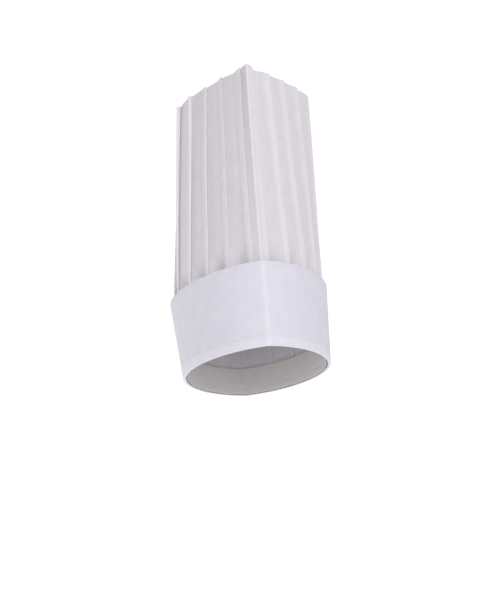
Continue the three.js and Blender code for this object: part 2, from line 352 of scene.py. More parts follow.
def swept_ring(
    name: str,
    wall: OvalWall,
    section: Array,
    spacing: float,
    rise: Callable[[Array, Array, Array], Array],
    marks: Callable[[Array, Array], dict[str, Array]] | None = None,
) -> bpy.types.Mesh:
    """A section carried round a wall.

    Args:
        name: The mesh's name.
        wall: The wall that it follows.
        section: Its closed section, as n x 2: distance outwards and height, in mm.
        spacing: The spacing of the stations round the wall, in mm.
        rise: What is added to the distance outwards at a share, a distance and a height, in mm.
        marks: The attributes at each share and height.

    Returns:
        The mesh.
    """
    girth = float(wall.girth(section[:, 1].mean()))
    share = stations(girth, spacing)[None, :]
    out, z = section[:, :1], section[:, 1:]
    points = wall.place(share, out + rise(share, out, z), z)
    run = np.hypot(*np.diff(wrapped(section, 0, 0), axis=0).T)
    v = np.concatenate([[0], np.cumsum(run)])
    u = wrapped(share[0] * girth, girth, 0)
    uv = MM * np.stack(np.meshgrid(u, v), axis=-1)
    return grid_mesh(name, points, uv, marks(share, z) if marks else None)


def strip_mesh(
    name: str,
    wall: OvalWall,
    span: Span,
    heights: Span,
    out: OutAt,
    thickness: float,
    spacing: float = 1.5,
    tip: float = 0.0,
) -> bpy.types.Mesh:
    """A closed strip of cloth or tape that lies along a wall at the back.

    Args:
        name: The mesh's name.
        wall: The wall that it lies on.
        span: Where it starts and ends, in mm from the back crease towards -X.
        heights: Its lower and upper edge, in mm.
        out: Distance outwards of its underside, at each place along it.
        thickness: Its thickness, in mm.
        spacing: The grid's spacing, in mm.
        tip: The radius of the two corners at its far end.

    Returns:
        The mesh.
    """
    half = (heights[1] - heights[0]) / 2
    edge = thickness / 2
    bevel = 0.15 * edge
    across = np.linspace(-half + edge, half - edge, max(3, round(2 * half / spacing)))
    face = [(y, thickness) for y in across]
    round_up = [(half - bevel, 0.75 * thickness), (half, edge), (half - bevel, 0.25 * thickness)]
    under = [(y, 0.0) for y in across[::-1]]
    round_down = [(-y, h) for y, h in reversed(round_up)]
    section = np.array(face + round_up + under + round_down)
    along = np.linspace(*span, max(3, round((span[1] - span[0]) / spacing)))
    ends = np.concatenate([[span[0], span[0] + bevel], along[1:-1], [span[1] - bevel, span[1]]])
    full = np.ones(len(ends))  # the share of its thickness that the strip has there
    full[[0, -1]] = 0
    full[[1, -2]] = 0.7
    into = np.maximum(0, ends - span[1] + tip)
    narrow = 1 - (tip - np.sqrt(np.maximum(0, tip**2 - into**2))) / half
    y = (heights[0] + half) + section[:, :1] * narrow[None, :]
    level = edge + (section[:, 1:] - edge) * full[None, :]
    points = wall.from_back(ends[None, :], out(ends)[None, :] + level, y)
    u = np.append(ends, ends[-1])
    v = np.append(section[:, 0], section[0, 0])
    uv = MM * np.stack(np.meshgrid(u, v), axis=-1)
    return grid_mesh(name, points, uv, ring=False)


# ---- Nodes ----------------------------------------------------------------------------------------

# The float sockets of a random value node come after its vector ones, and the colour sockets of a
# mix node after its other kinds.
FLOAT_MIN, FLOAT_MAX = 2, 3
COLOUR_A, COLOUR_B, COLOUR_OUT = 6, 7, 2


def add_node(
    tree: bpy.types.NodeTree,
    kind: str,
    links: Sockets | None = None,
    values: dict[str | int, object] | None = None,
    **settings: object,
) -> bpy.types.Node:
    """Adds a node to a tree.

    Args:
        tree: The tree.
        kind: The node's type.
        links: What is linked to its inputs.
        values: What its other inputs are set to.
        settings: Its own properties.

    Returns:
        The node.
    """
    node = tree.nodes.new(kind)
    for name, value in settings.items():
        setattr(node, name, value)
    for key, value in (values or {}).items():
        node.inputs[key].default_value = value
    for key, socket in (links or {}).items():
        tree.links.new(socket, node.inputs[key])
    return node


def new_tree(name: str, inputs: dict[str, str]) -> tuple[bpy.types.NodeTree, bpy.types.Node]:
    """An empty geometry tree with named inputs, and its input node.

    Args:
        name: The tree's name.
        inputs: The name and the kind of each input, beside the geometry and the material.

    Returns:
        The tree and its input node.
    """
    tree = bpy.data.node_groups.new(name, "GeometryNodeTree")
    tree.interface.new_socket("Geometry", in_out="OUTPUT", socket_type="NodeSocketGeometry")
    for label, kind in {"Geometry": "Geometry", **inputs, "Material": "Material"}.items():
        tree.interface.new_socket(label, in_out="INPUT", socket_type=f"NodeSocket{kind}")
    return tree, tree.nodes.new("NodeGroupInput")


def end_tree(tree: bpy.types.NodeTree, given: bpy.types.Node, instances: bpy.types.NodeSocket) -> None:
    """Ends a geometry tree: real geometry, smooth, in the material that it is given.

    Args:
        tree: The tree.
        given: Its input node.
        instances: What it has made.
    """
    real = add_node(tree, "GeometryNodeRealizeInstances", {0: instances})
    smooth = add_node(tree, "GeometryNodeSetShadeSmooth", {"Geometry": real.outputs[0]})
    links = {"Geometry": smooth.outputs[0], "Material": given.outputs["Material"]}
    dressed = add_node(tree, "GeometryNodeSetMaterial", links)
    add_node(tree, "NodeGroupOutput", {0: dressed.outputs[0]})


def grown(
    name: str, seed_mesh: bpy.types.Mesh, tree: bpy.types.NodeTree, **inputs: object
) -> bpy.types.Object:
    """Runs a geometry tree on a mesh and keeps the result as a plain mesh.

    Args:
        name: The piece's name.
        seed_mesh: The path or the surface that the tree works on.
        tree: The tree.
        inputs: Its inputs by name, with _ for a space.

    Returns:
        The new object.
    """
    holder = bpy.data.objects.new(name + "_seed", seed_mesh)
    bpy.context.scene.collection.objects.link(holder)
    modifier = holder.modifiers.new(name, "NODES")
    modifier.node_group = tree
    for item in tree.interface.items_tree:
        value = inputs.get(item.name.replace(" ", "_"))
        if item.in_out == "INPUT" and value is not None:
            modifier[item.identifier] = value
    graph = bpy.context.evaluated_depsgraph_get()
    mesh = bpy.data.meshes.new_from_object(holder.evaluated_get(graph))
    bpy.data.objects.remove(holder)
    mesh.name = name
    piece = bpy.data.objects.new(name, mesh)
    bpy.context.scene.collection.objects.link(piece)
    return piece


def stitch_tree() -> bpy.types.NodeTree:
    """Lays one rounded stitch after another along a path.

    Returns:
        The tree.
    """
    tree, given = new_tree("stitch_run", {"Pitch": "Float", "Thread": "Float", "Seed": "Int"})
    path = add_node(tree, "GeometryNodeMeshToCurve", {"Mesh": given.outputs["Geometry"]})
    spaced = add_node(
        tree,
        "GeometryNodeResampleCurve",
        {"Curve": path.outputs[0], "Length": given.outputs["Pitch"]},
        mode="LENGTH",
    )
    tangent = add_node(tree, "GeometryNodeInputTangent")
    lie = add_node(tree, "FunctionNodeAlignRotationToVector", {"Vector": tangent.outputs[0]}, axis="X")
    # Hand feed and thread tension make no two stitches quite the same length.
    wander = add_node(
        tree,
        "FunctionNodeRandomValue",
        {"Seed": given.outputs["Seed"]},
        {FLOAT_MIN: 0.35, FLOAT_MAX: 0.42},
        data_type="FLOAT",
    )
    reach = add_node(
        tree, "ShaderNodeMath", {0: given.outputs["Pitch"], 1: wander.outputs[1]}, operation="MULTIPLY"
    )
    size = add_node(
        tree,
        "ShaderNodeCombineXYZ",
        {"X": reach.outputs[0], "Y": given.outputs["Thread"], "Z": given.outputs["Thread"]},
    )
    bead = add_node(tree, "GeometryNodeMeshUVSphere", values={"Segments": 8, "Rings": 5, "Radius": 1.0})
    laid = add_node(
        tree,
        "GeometryNodeInstanceOnPoints",
        {
            "Points": spaced.outputs[0],
            "Instance": bead.outputs["Mesh"],
            "Rotation": lie.outputs[0],
            "Scale": size.outputs[0],
        },
    )
    end_tree(tree, given, laid.outputs[0])
    return tree


class Pile(Enum):
    """What stands on a fastener strip: its name, and the points of one bristle in mm."""

    HOOK = ("hook_pile", ((0.0, 0.0, 0.0), (-0.12, 0.0, 0.95), (0.34, 0.0, 0.3)))
    LOOP = ("loop_pile", ((-0.34, 0.0, -0.05), (0.0, 0.1, 0.95), (0.34, 0.0, -0.05)))


def pile_tree(pile: Pile) -> bpy.types.NodeTree:
    """Scatters one kind of bristle over the faces of a surface, standing up from it.

    Args:
        pile: The kind of bristle.

    Returns:
        The tree.
    """
    name, bends = pile.value
    tree, given = new_tree(name, {"Spacing": "Float", "Thread": "Float", "Seed": "Int"})
    scatter = add_node(
        tree,
        "GeometryNodeDistributePointsOnFaces",
        {
            "Mesh": given.outputs["Geometry"],
            "Distance Min": given.outputs["Spacing"],
            "Seed": given.outputs["Seed"],
        },
        {"Density Max": 4e6},
        distribute_method="POISSON",
    )
    ends = {key: Vector(bend) * MM for key, bend in zip(("Start", "Middle", "End"), bends)}
    arch = add_node(tree, "GeometryNodeCurveQuadraticBezier", values={"Resolution": 7, **ends})
    profile = add_node(
        tree, "GeometryNodeCurvePrimitiveCircle", {"Radius": given.outputs["Thread"]}, {"Resolution": 4}
    )
    bristle = add_node(
        tree,
        "GeometryNodeCurveToMesh",
        {"Curve": arch.outputs[0], "Profile Curve": profile.outputs[0]},
        {"Fill Caps": True},
    )
    spin = add_node(
        tree,
        "FunctionNodeRandomValue",
        {"Seed": given.outputs["Seed"]},
        {FLOAT_MIN: -0.5, FLOAT_MAX: 0.5},
        data_type="FLOAT",
    )
    turn = add_node(tree, "FunctionNodeAxisAngleToRotation", {"Angle": spin.outputs[1]})
    stand = add_node(
        tree,
        "FunctionNodeRotateRotation",
        {"Rotation": scatter.outputs["Rotation"], "Rotate By": turn.outputs[0]},
        rotation_space="LOCAL",
    )
    laid = add_node(
        tree,
        "GeometryNodeInstanceOnPoints",
        {"Points": scatter.outputs["Points"], "Instance": bristle.outputs[0], "Rotation": stand.outputs[0]},
    )
    end_tree(tree, given, laid.outputs[0])
    return tree


def linear(colour: str) -> tuple[float, float, float, float]:
    """An sRGB hex value as linear red, green, blue and alpha.

    Args:
        colour: The value, as #rrggbb.

    Returns:
        The four numbers, from 0 to 1.
    """
    parts = [int(colour[i : i + 2], 16) / 255 for i in (1, 3, 5)]
    red, green, blue = (c / 12.92 if c <= 0.04045 else ((c + 0.055) / 1.055) ** 2.4 for c in parts)
    return red, green, blue, 1.0


# ---- Finishes -------------------------------------------------------------------------------------


@dataclass(frozen=True)
class Finish:
    """What every finish has: two tones, a roughness, a sheen and a height for its bump."""

    name: str
    light: str
    dark: str
    roughness: float
    sheen: float
    bump_mm: float

    def pattern(self, tree: bpy.types.NodeTree) -> tuple[Socket, Socket]:
        """Lays down the pattern of the finish.

        Args:
            tree: The material's tree.

        Returns:
            The share of the light tone, and the height of the surface, each from 0 to 1.
        """
        raise NotImplementedError

    def material(self) -> bpy.types.Material:
        """Builds the material.

        Returns:
            The material.
        """
        made = bpy.data.materials.new(self.name)
        made.use_nodes = True
        tree = made.node_tree
        tree.nodes.clear()
        tone, height = self.pattern(tree)
        colour = add_node(
            tree,
            "ShaderNodeMix",
            {"Factor": tone},
            {COLOUR_A: linear(self.dark), COLOUR_B: linear(self.light)},
            data_type="RGBA",
        )
        bump = add_node(
            tree, "ShaderNodeBump", {"Height": height}, {"Strength": 1.0, "Distance": self.bump_mm * MM}
        )
        shader = add_node(
            tree,
            "ShaderNodeBsdfPrincipled",
            {"Base Color": colour.outputs[COLOUR_OUT], "Normal": bump.outputs[0]},
            {
                "Roughness": self.roughness,
                "IOR": 1.49,
                "Specular IOR Level": 0.25,
                "Sheen Weight": self.sheen,
                "Sheen Roughness": 0.6,
            },
        )
        add_node(tree, "ShaderNodeOutputMaterial", {"Surface": shader.outputs[0]})
        return made

    def on_cloth(
        self, tree: bpy.types.NodeTree, across_mm: float, along_mm: float, turn: float = 0.0
    ) -> Socket:
        """Places on the flat cloth, with a pattern's size as one unit.

        Args:
            tree: The material's tree.
            across_mm: The pattern's size across the cloth.
            along_mm: Its size along the cloth.
            turn: Its turn on the cloth, in radians.

        Returns:
            The places.
        """
        flat = add_node(tree, "ShaderNodeUVMap", uv_map="cloth")
        scale = Vector((1 / (across_mm * MM), 1 / (along_mm * MM), 1))
        placed = add_node(
            tree,
            "ShaderNodeMapping",
            {"Vector": flat.outputs[0]},
            {"Scale": scale, "Rotation": Vector((0, 0, turn))},
            vector_type="POINT",
        )
        return placed.outputs[0]

    def in_space(self, tree: bpy.types.NodeTree, size_mm: float) -> Socket:
        """Places in the object, with a pattern's size as one unit.

        Args:
            tree: The material's tree.
            size_mm: The pattern's size.

        Returns:
            The places.
        """
        spot = add_node(tree, "ShaderNodeTexCoord")
        scale = Vector((1, 1, 1)) / (size_mm * MM)
        placed = add_node(tree, "ShaderNodeMapping", {"Vector": spot.outputs["Object"]}, {"Scale": scale})
        return placed.outputs[0]

    def lattice(self, tree: bpy.types.NodeTree, period_mm: float, turn: float = 0.0) -> Socket:
        """Waves across the cloth times waves along it, which make rows of points.

        Args:
            tree: The material's tree.
            period_mm: The length of one wave.
            turn: The turn of the rows on the cloth, in radians.

        Returns:
            The product, from -1 to 1.
        """
        size = period_mm / math.tau
        place = add_node(tree, "ShaderNodeSeparateXYZ", {"Vector": self.on_cloth(tree, size, size, turn)})
        waves = [add_node(tree, "ShaderNodeMath", {0: place.outputs[i]}, operation="SINE") for i in (0, 1)]
        product = add_node(
            tree, "ShaderNodeMath", {0: waves[0].outputs[0], 1: waves[1].outputs[0]}, operation="MULTIPLY"
        )
        return product.outputs[0]

    def weighed(self, tree: bpy.types.NodeTree, parts: Sequence[tuple[Socket, float]], base: float) -> Socket:
        """A base value plus each part times its weight.

        Args:
            tree: The material's tree.
            parts: Each part and its weight.
            base: The base value.

        Returns:
            The sum, held between 0 and 1.
        """
        links, values = {}, {2: base}
        for place, (socket, weight) in enumerate(parts, 1):
            summed = add_node(
                tree,
                "ShaderNodeMath",
                {0: socket, **links},
                {1: weight, **values},
                operation="MULTIPLY_ADD",
                use_clamp=place == len(parts),
            )
            links, values = {2: summed.outputs[0]}, {}
        return summed.outputs[0]


@dataclass(frozen=True)
class Nonwoven(Finish):
    """Spunbond polypropylene: matted fibres, pressed together at a lattice of bond points.

    The mat is uneven, so it is cloudy; cloth on cloth lets less light through and looks whiter. The
    backing mark that whitens it is also painted light on the proud strips and the hem, and leaves the
    recessed panels in painted shade; the fold mark is a painted highlight along each pressed fold.
    """

    cloud_mm: float = 14.0
    fibre_mm: float = 1.3
    bond_mm: float = 2.6  # real bonds are 1 to 1.5 mm apart; drawn coarser, so that they show

    def pattern(self, tree: bpy.types.NodeTree) -> tuple[Socket, Socket]:
        """Clouds, lying fibres and bond points, with the painted fold highlight and the backing mark.

        Args:
            tree: The material's tree.

        Returns:
            The share of the light tone, and the height of the surface, each from 0 to 1.
        """
        clouds = add_node(
            tree,
            "ShaderNodeTexNoise",
            {"Vector": self.on_cloth(tree, self.cloud_mm, 1.6 * self.cloud_mm)},
            {"Scale": 1.0, "Detail": 5.0, "Roughness": 0.62},
        )
        fibres = add_node(
            tree,
            "ShaderNodeTexNoise",
            {"Vector": self.on_cloth(tree, self.fibre_mm, 5 * self.fibre_mm, math.radians(12))},
            {"Scale": 1.0, "Detail": 4.0, "Roughness": 0.7, "Distortion": 1.1},
        )
        bonds = self.lattice(tree, self.bond_mm, math.pi / 4)
        # The fold mark paints a highlight along folds and creases; the backing mark is whiter doubled cloth
        # and also painted light on proud strips and the hem.
        fold = add_node(tree, "ShaderNodeAttribute", attribute_name="fold")
        backed = add_node(tree, "ShaderNodeAttribute", attribute_name="backed")
        tone = self.weighed(
            tree,
            [
                (clouds.outputs[0], 0.5),
                (fibres.outputs[0], 0.25),
                (fold.outputs["Fac"], 0.55),
                (backed.outputs["Fac"], 0.28),
            ],
            base=-0.24,
        )
        height = self.weighed(tree, [(fibres.outputs[0], 0.6), (bonds, 0.3)], base=0.2)
        return tone, height


@dataclass(frozen=True)
class Board(Finish):
    """Uncoated paperboard: pressed pulp with a faint grain and specks of longer fibre."""

    pulp_mm: float = 3.0
    speck_mm: float = 1.2

    def pattern(self, tree: bpy.types.NodeTree) -> tuple[Socket, Socket]:
        """Pulp clouds and specks.

        Args:
            tree: The material's tree.

        Returns:
            The share of the light tone, and the height of the surface, each from 0 to 1.
        """
        spots = self.in_space(tree, self.pulp_mm)
        pulp = add_node(tree, "ShaderNodeTexNoise", {"Vector": spots}, {"Scale": 1.0, "Detail": 6.0})
        spots = self.in_space(tree, self.speck_mm)
        specks = add_node(tree, "ShaderNodeTexVoronoi", {"Vector": spots}, {"Scale": 1.0})
        tone = self.weighed(tree, [(pulp.outputs[0], 0.8), (specks.outputs[0], 0.4)], base=-0.1)
        return tone, pulp.outputs[0]


@dataclass(frozen=True)
class Fleece(Finish):
    """Needled absorbent fleece: a soft felted mat, dimpled in rows where the needles went through."""

    nap_mm: float = 1.1
    needle_mm: float = 3.0

    def pattern(self, tree: bpy.types.NodeTree) -> tuple[Socket, Socket]:
        """Curled nap and rows of needle dimples.

        Args:
            tree: The material's tree.

        Returns:
            The share of the light tone, and the height of the surface, each from 0 to 1.
        """
        nap = add_node(
            tree,
            "ShaderNodeTexNoise",
            {"Vector": self.on_cloth(tree, self.nap_mm, self.nap_mm)},
            {"Scale": 1.0, "Detail": 5.0, "Roughness": 0.75, "Distortion": 0.8},
        )
        dimples = add_node(
            tree,
            "ShaderNodeTexVoronoi",
            {"Vector": self.on_cloth(tree, self.needle_mm, self.needle_mm)},
            {"Scale": 1.0, "Randomness": 0.35},
        )
        tone = self.weighed(tree, [(nap.outputs[0], 0.9), (dimples.outputs[0], 0.3)], base=-0.1)
        height = self.weighed(tree, [(nap.outputs[0], 0.6), (dimples.outputs[0], 0.5)], base=0.0)
        return tone, height


@dataclass(frozen=True)
class SpunThread(Finish):
    """Spun polyester thread: two plies twisted together, which run slantwise along each stitch."""

    ply_mm: float = 0.5

    def pattern(self, tree: bpy.types.NodeTree) -> tuple[Socket, Socket]:
        """Slanting plies.

        Args:
            tree: The material's tree.

        Returns:
            The share of the light tone, and the height of the surface, each from 0 to 1.
        """
        plies = add_node(
            tree,
            "ShaderNodeTexWave",
            {"Vector": self.in_space(tree, self.ply_mm)},
            {"Scale": 0.3, "Distortion": 1.0, "Detail": 1.0},
            bands_direction="DIAGONAL",
        )
        return plies.outputs["Fac"], plies.outputs["Fac"]


@dataclass(frozen=True)
class WovenTape(Finish):
    """The plain-woven ground of a fastener tape: threads over and under in both directions."""

    thread_mm: float = 0.5

    def pattern(self, tree: bpy.types.NodeTree) -> tuple[Socket, Socket]:
        """A plain weave.

        Args:
            tree: The material's tree.

        Returns:
            The share of the light tone, and the height of the surface, each from 0 to 1.
        """
        weave = self.lattice(tree, 2 * self.thread_mm)
        tone = self.weighed(tree, [(weave, 0.4)], base=0.5)
        return tone, tone


@dataclass(frozen=True)
class Monofilament(Finish):
    """Drawn polyamide monofilament of the hooks and loops: smooth, milky, a little uneven."""

    cloud_mm: float = 1.5

    def pattern(self, tree: bpy.types.NodeTree) -> tuple[Socket, Socket]:
        """Milky clouds in the plastic.

        Args:
            tree: The material's tree.

        Returns:
            The share of the light tone, and the height of the surface, each from 0 to 1.
        """
        spots = self.in_space(tree, self.cloud_mm)
        clouds = add_node(tree, "ShaderNodeTexNoise", {"Vector": spots}, {"Scale": 1.0, "Detail": 2.0})
        return clouds.outputs[0], clouds.outputs[0]


# Pleated and pressed spunbond: matt and cloudy, a warm white that greys softly in one ply and is
# whiter where plies back it, partly as painted light on the proud strips, with a painted highlight
# along each pressed fold.
CROWN_CLOTH = Nonwoven("spunbond_crown_cloth", "#fbf9fc", "#e0dbe1", 0.86, 0.12, 0.10)
# The same cloth, calendered smooth: flatter, cooler and more even.
BAND_CLOTH = Nonwoven("spunbond_band_cloth", "#fafaff", "#dcdae6", 0.8, 0.1, 0.05, cloud_mm=11)
# Pressed pulp, dead matt and a little yellow beside the cloth.
PAPERBOARD = Board("uncoated_paperboard", "#ebe8df", "#dedacf", 0.92, 0.0, 0.05)
# Needled viscose fleece: no gloss, a soft pale fuzz at grazing angles, dimpled rows.
SWEAT_FLEECE = Fleece("needled_sweatband_fleece", "#f0eeeb", "#d5d1ce", 0.95, 0.3, 0.35)
# Twisted polyester: whiter than the cloth, with a faint slanting glint.
THREAD = SpunThread("spun_polyester_thread", "#f7f6f9", "#dedce2", 0.6, 0.1, 0.03)
# Plain-woven polyamide: a fine even grid under the pile.
TAPE = WovenTape("woven_fastener_tape", "#f0eeef", "#dbd8da", 0.75, 0.1, 0.08)
# Drawn polyamide: smooth and milky, the glossiest thing on the hat.
FILAMENT = Monofilament("drawn_polyamide_pile", "#f4f2f2", "#e1dddf", 0.45, 0.0, 0.01)


# ---- The crown ------------------------------------------------------------------------------------


@dataclass(frozen=True)
class Bend:
    """One corner of the pleated line at every height.

    Its place is the distance along the girth and outwards, in mm. The cut is how far from the corner
    its rounding starts, in mm, and samples is how many points the rounding has.
    """

    along: Array
    out: Array
    cut: float
    samples: int
    # fold is a painted highlight along the corner; the backing mark is whiter doubled cloth and painted
    # light.
    fold: float = 0.0
    backed: float = 0.0


@dataclass
class PleatedCrown:
    """The crown: one sheet folded into knife pleats that all turn the same way round.

    From a fold edge each pleat drops to the panel beside it, runs low along that panel, climbs on to
    its own underlay and comes to its own fold edge. The front panel is folded down its middle.
    """

    cloth: bpy.types.Material
    pleats_a_side: int = 9
    crease_panel: float = 0.0365
    sheet_width: float = 860.0
    thickness: float = 0.35
    foot: float = 1.2
    step_in_band: float = 1.6
    step_at_waist: float = 3.0
    step_at_top: float = 5.6
    climb: float = 0.15
    fold_gap: float = 0.75
    sink: float = 6.0  # how far the pleats are drawn in where they enter the band, in mm
    sink_reach: float = 19.0
    crest: float = 1.8  # how far the front crease stands up at the top edge, in mm
    lower_side: float = 0.42  # how much lower than the rest the +X pleats' steps are at the top
    stray: float = 1.3  # how far a fold edge strays from even spacing, in mm
    bow: float = 1.1  # how far it bows halfway up, in mm
    uneven_step: Span = (-0.22, 0.18)
    uneven_panel: Span = (-0.2, 0.9)
    crowding: Span = (0.15, 0.07)
    rows_in_band: int = 12
    rows_above: int = 60
    seed: int = 7
    wall: OvalWall = field(
        default_factory=lambda: OvalWall(
            (CROWN_FOOT, CROWN_WAIST, CROWN_TOP), crease_radius=1.3, lean=CROWN_LEAN, twist=CROWN_TWIST
        )
    )
    ripple: Ripple = Ripple(amplitude=0.9, fewest=3, most=17, seed=3)

    def step(self, z: Array | float) -> Array:
        """How far a fold edge stands out from the panel beside it, in mm.

        Args:
            z: Height, in mm.

        Returns:
            The step, in mm.
        """
        inside = self.step_in_band + (self.step_at_waist - self.step_in_band) * (z / BAND_HEIGHT) ** 3
        rise = self.rise(z)
        above = self.step_at_waist + (self.step_at_top - self.step_at_waist) * rise
        return np.where(z <= BAND_HEIGHT, inside, above)

    def rise(self, z: Array | float) -> Array:
        """Height above the band as a share of the way to the top."""
        return np.clip((np.asarray(z) - BAND_HEIGHT) / (HAT_HEIGHT - BAND_HEIGHT), 0, 1)

    def hidden(self, z: Array) -> Array:
        """How far the plies hidden behind a fold edge reach back from it, in mm."""
        spare = (self.sheet_width - self.wall.girth(z)) / (2 * self.pleats_a_side + 1)
        return (spare - self.step(z) + self.fold_gap) / 2

    def lap(self, z: Array) -> Array:
        """How far back from a fold edge the pleat starts to climb on to its underlay, in mm."""
        inside = np.clip(1 - (z / BAND_HEIGHT) ** 2, 0, 1)
        return self.hidden(z) * (0.92 - 0.42 * self.rise(z)) + 0.8 * inside

    def droop(self, z: Array) -> Array:
        """How low the pleat lies there, as a share of its step."""
        return 0.18 + 0.12 * self.rise(z)

    def bends(self, z: Array) -> list[Bend]:
        """The corners of the pleated line at each height, once round the sheet.

        Args:
            z: The heights, in mm.

        Returns:
            The corners, counter-clockwise from the front crease.
        """
        rng = np.random.default_rng(self.seed)
        girth, rise, count = self.wall.girth(z), self.rise(z), 2 * self.pleats_a_side
        half = self.crease_panel * girth / 2
        pitch = (girth - 2 * half) / count
        hidden, lap = self.hidden(z), self.lap(z)
        near_band = np.exp(-(((z - BAND_HEIGHT) / self.sink_reach) ** 2))
        sink = self.sink * near_band * np.clip((z - 60) / 25, 0, 1)
        edges, steps = [half], [self.step(z)]
        for pleat in range(1, count + 1):
            stray = rng.uniform(-self.stray, self.stray)
            sway = stray + rng.uniform(-self.bow, self.bow) * np.sin(np.pi * rise)
            held = 0.0 if pleat == self.pleats_a_side else np.clip((z - 40) / BAND_HEIGHT, 0, 1)
            edges.append(half + pleat * pitch + sway * held)
            lower = self.lower_side if pleat <= self.pleats_a_side else 0.0
            steps.append(self.step(z) * (1 + (rng.uniform(*self.uneven_step) - lower) * rise))
        edges[0] = half + rng.uniform(-0.5, 0.5) * rise
        line = self.underlay(edges[-1] - girth, steps[-1], hidden)
        # The front panel climbs to its crease, a pressed line 3 mm wide, and lies level beyond it; the fold
        # mark paints a highlight along the crease.
        for across, fold in ((-1.6, 0), (-0.8, 0.5), (0, 0.9), (0.8, 0.5), (1.6, 0)):
            fall = 0.08 + (0.92 * -across / half if across < 0 else -0.08 * across / half)
            line.append(Bend(across + 0 * z, -fall * steps[0], 0.0, 1, fold=fold))
        # Each fold edge carries a painted highlight, and the strip before it the backing mark, which is
        # partly painted light.
        line.append(Bend(edges[0], 0 * z, 0.7, 4, fold=0.45, backed=1))
        for last, edge, last_step, step in zip(edges[:-1], edges[1:], steps[:-1], steps[1:]):
            foot = edge - hidden - self.climb * pitch
            bulge = rng.uniform(*self.uneven_panel) * np.sin(np.pi * np.clip(rise * 1.1, 0, 1))
            line += [
                *self.underlay(last, last_step, hidden),
                Bend(last + 0.35 * (foot - last), -0.97 * step + bulge - sink, 0.0, 1),
                Bend(last + 0.7 * (foot - last), -0.95 * step + bulge - sink, 0.0, 1),
                Bend(foot, -0.92 * step - 0.4 * sink, 3.0, 3),
                Bend(edge - lap, -self.droop(z) * step, 2.4, 3, backed=0.9),
                Bend(edge, 0 * z, 0.7, 4, fold=0.45, backed=1),
            ]
        return line

    def underlay(self, edge: Array, step: Array, hidden: Array) -> list[Bend]:
        """The drop from a fold edge, the ply hidden behind it, and the fold that brings it out again.

        Args:
            edge: Where the fold edge lies along the girth, in mm.
            step: How far it stands out from the panel beside it, in mm.
            hidden: How far the hidden plies reach back from it, in mm.

        Returns:
            The four corners.
        """
        # The drop from each fold edge carries a faint painted highlight.
        return [
            Bend(edge - 0.9, self.fold_gap - step, 0.5, 3, fold=0.15, backed=1),
            Bend(edge - hidden, self.fold_gap - step, 0.27, 3, backed=1),
            Bend(edge - hidden, 0.05 - step, 0.27, 3, backed=1),
            Bend(edge + 0.5, -step, 2.0, 3),
        ]

    def rounded(self, bends: list[Bend], girth: Array) -> tuple[Array, Array, Array, Array]:
        """The pleated line with its corners rounded.

        Args:
            bends: Its corners.
            girth: The girth at each height, in mm.

        Returns:
            Distance along the girth, distance outwards, painted fold highlight and backing mark of each
            point.
        """
        corner = np.stack([np.stack([b.along, b.out + 0 * b.along], axis=-1) for b in bends], axis=1)
        lap = np.stack([girth, 0 * girth], axis=-1)[:, None, :]
        before = np.concatenate([corner[:, -1:] - lap, corner[:, :-1]], axis=1)
        after = np.concatenate([corner[:, 1:], corner[:, :1] + lap], axis=1)
        cut = np.array([b.cut for b in bends])[None, :, None]
        found, fold, backed, sides = [], [], [], []
        for other in (before, after):
            way = other - corner
            length = np.linalg.norm(way, axis=-1, keepdims=True)
            sides.append(corner + way / length * np.minimum(cut, 0.45 * length))
        for k, bend in enumerate(bends):
            start, end = sides[0][:, k], sides[1][:, k]
            for t in np.linspace(0, 1, bend.samples) if bend.samples > 1 else [0.5]:
                found.append((1 - t) ** 2 * start + 2 * t * (1 - t) * corner[:, k] + t**2 * end)
                fold.append(bend.fold * min(1, 3 * t) if bend.samples > 1 else bend.fold)
                backed.append(bend.backed)
        line = np.stack(found, axis=1)
        return line[..., 0], line[..., 1], np.array(fold), np.array(backed)

    def crowded(self, along: Array, girth: Array, z: Array) -> Array:
        """Draws the pleats towards the front crease near the band, as the real ones lie.

        Args:
            along: Distance along the girth, in mm.
            girth: The girth at each height, in mm.
            z: The heights, in mm.

        Returns:
            The new distance along the girth, negative on the far side of the crease.
        """
        half = girth / 2
        signed = np.where(along > half, along - girth, along)
        crowding = np.where(signed < 0, *self.crowding) * (1 - self.rise(z))
        return signed * (1 - crowding * (1 - np.abs(signed) / half))

    def rippled(self, share: Array, z: Array) -> Array:
        """The softness of the wall, in mm: none low in the band, and all of it from mid-height up."""
        return self.ripple.at(share, z) * np.clip((z - 70) / 110, 0, 1)

    def build(self) -> bpy.types.Object:
        """Builds the pleated sheet, with both its faces.

        Returns:
            The crown.
        """
        inside = np.linspace(self.foot, BAND_HEIGHT - 4, self.rows_in_band)
        z = np.concatenate([inside, np.linspace(BAND_HEIGHT, HAT_HEIGHT, self.rows_above)])
        girth = self.wall.girth(z)
        along, out, fold, backed = self.rounded(self.bends(z), girth)
        lap = np.stack([girth, 0 * girth], -1)[:, None]
        way = np.diff(wrapped(np.stack([along, out], -1), lap, 1), axis=1)
        run = np.linalg.norm(way, axis=-1)
        sheet = np.pad(np.cumsum(run, axis=1), ((0, 0), (1, 0)))
        way = way / run[..., None]
        way = way + np.roll(way, 1, axis=1)
        way /= np.linalg.norm(way, axis=-1, keepdims=True)
        height = z[:, None] + 0 * along
        height = height + self.top_edge(along / girth[:, None], height)
        faces = []
        for side in (1, -1):
            offset = side * self.thickness / 2
            share = self.crowded(along - offset * way[..., 1], girth[:, None], height) / girth[:, None]
            level = out + offset * way[..., 0] + self.rippled(share, height)
            faces.append(self.wall.place(share, level, height))
        points = np.concatenate([faces[0], faces[1][::-1]])
        v = np.broadcast_to(z[:, None], sheet.shape)
        flat = MM * np.stack([sheet, v], axis=-1)
        uv = np.concatenate([flat, flat[::-1], flat[:1]])
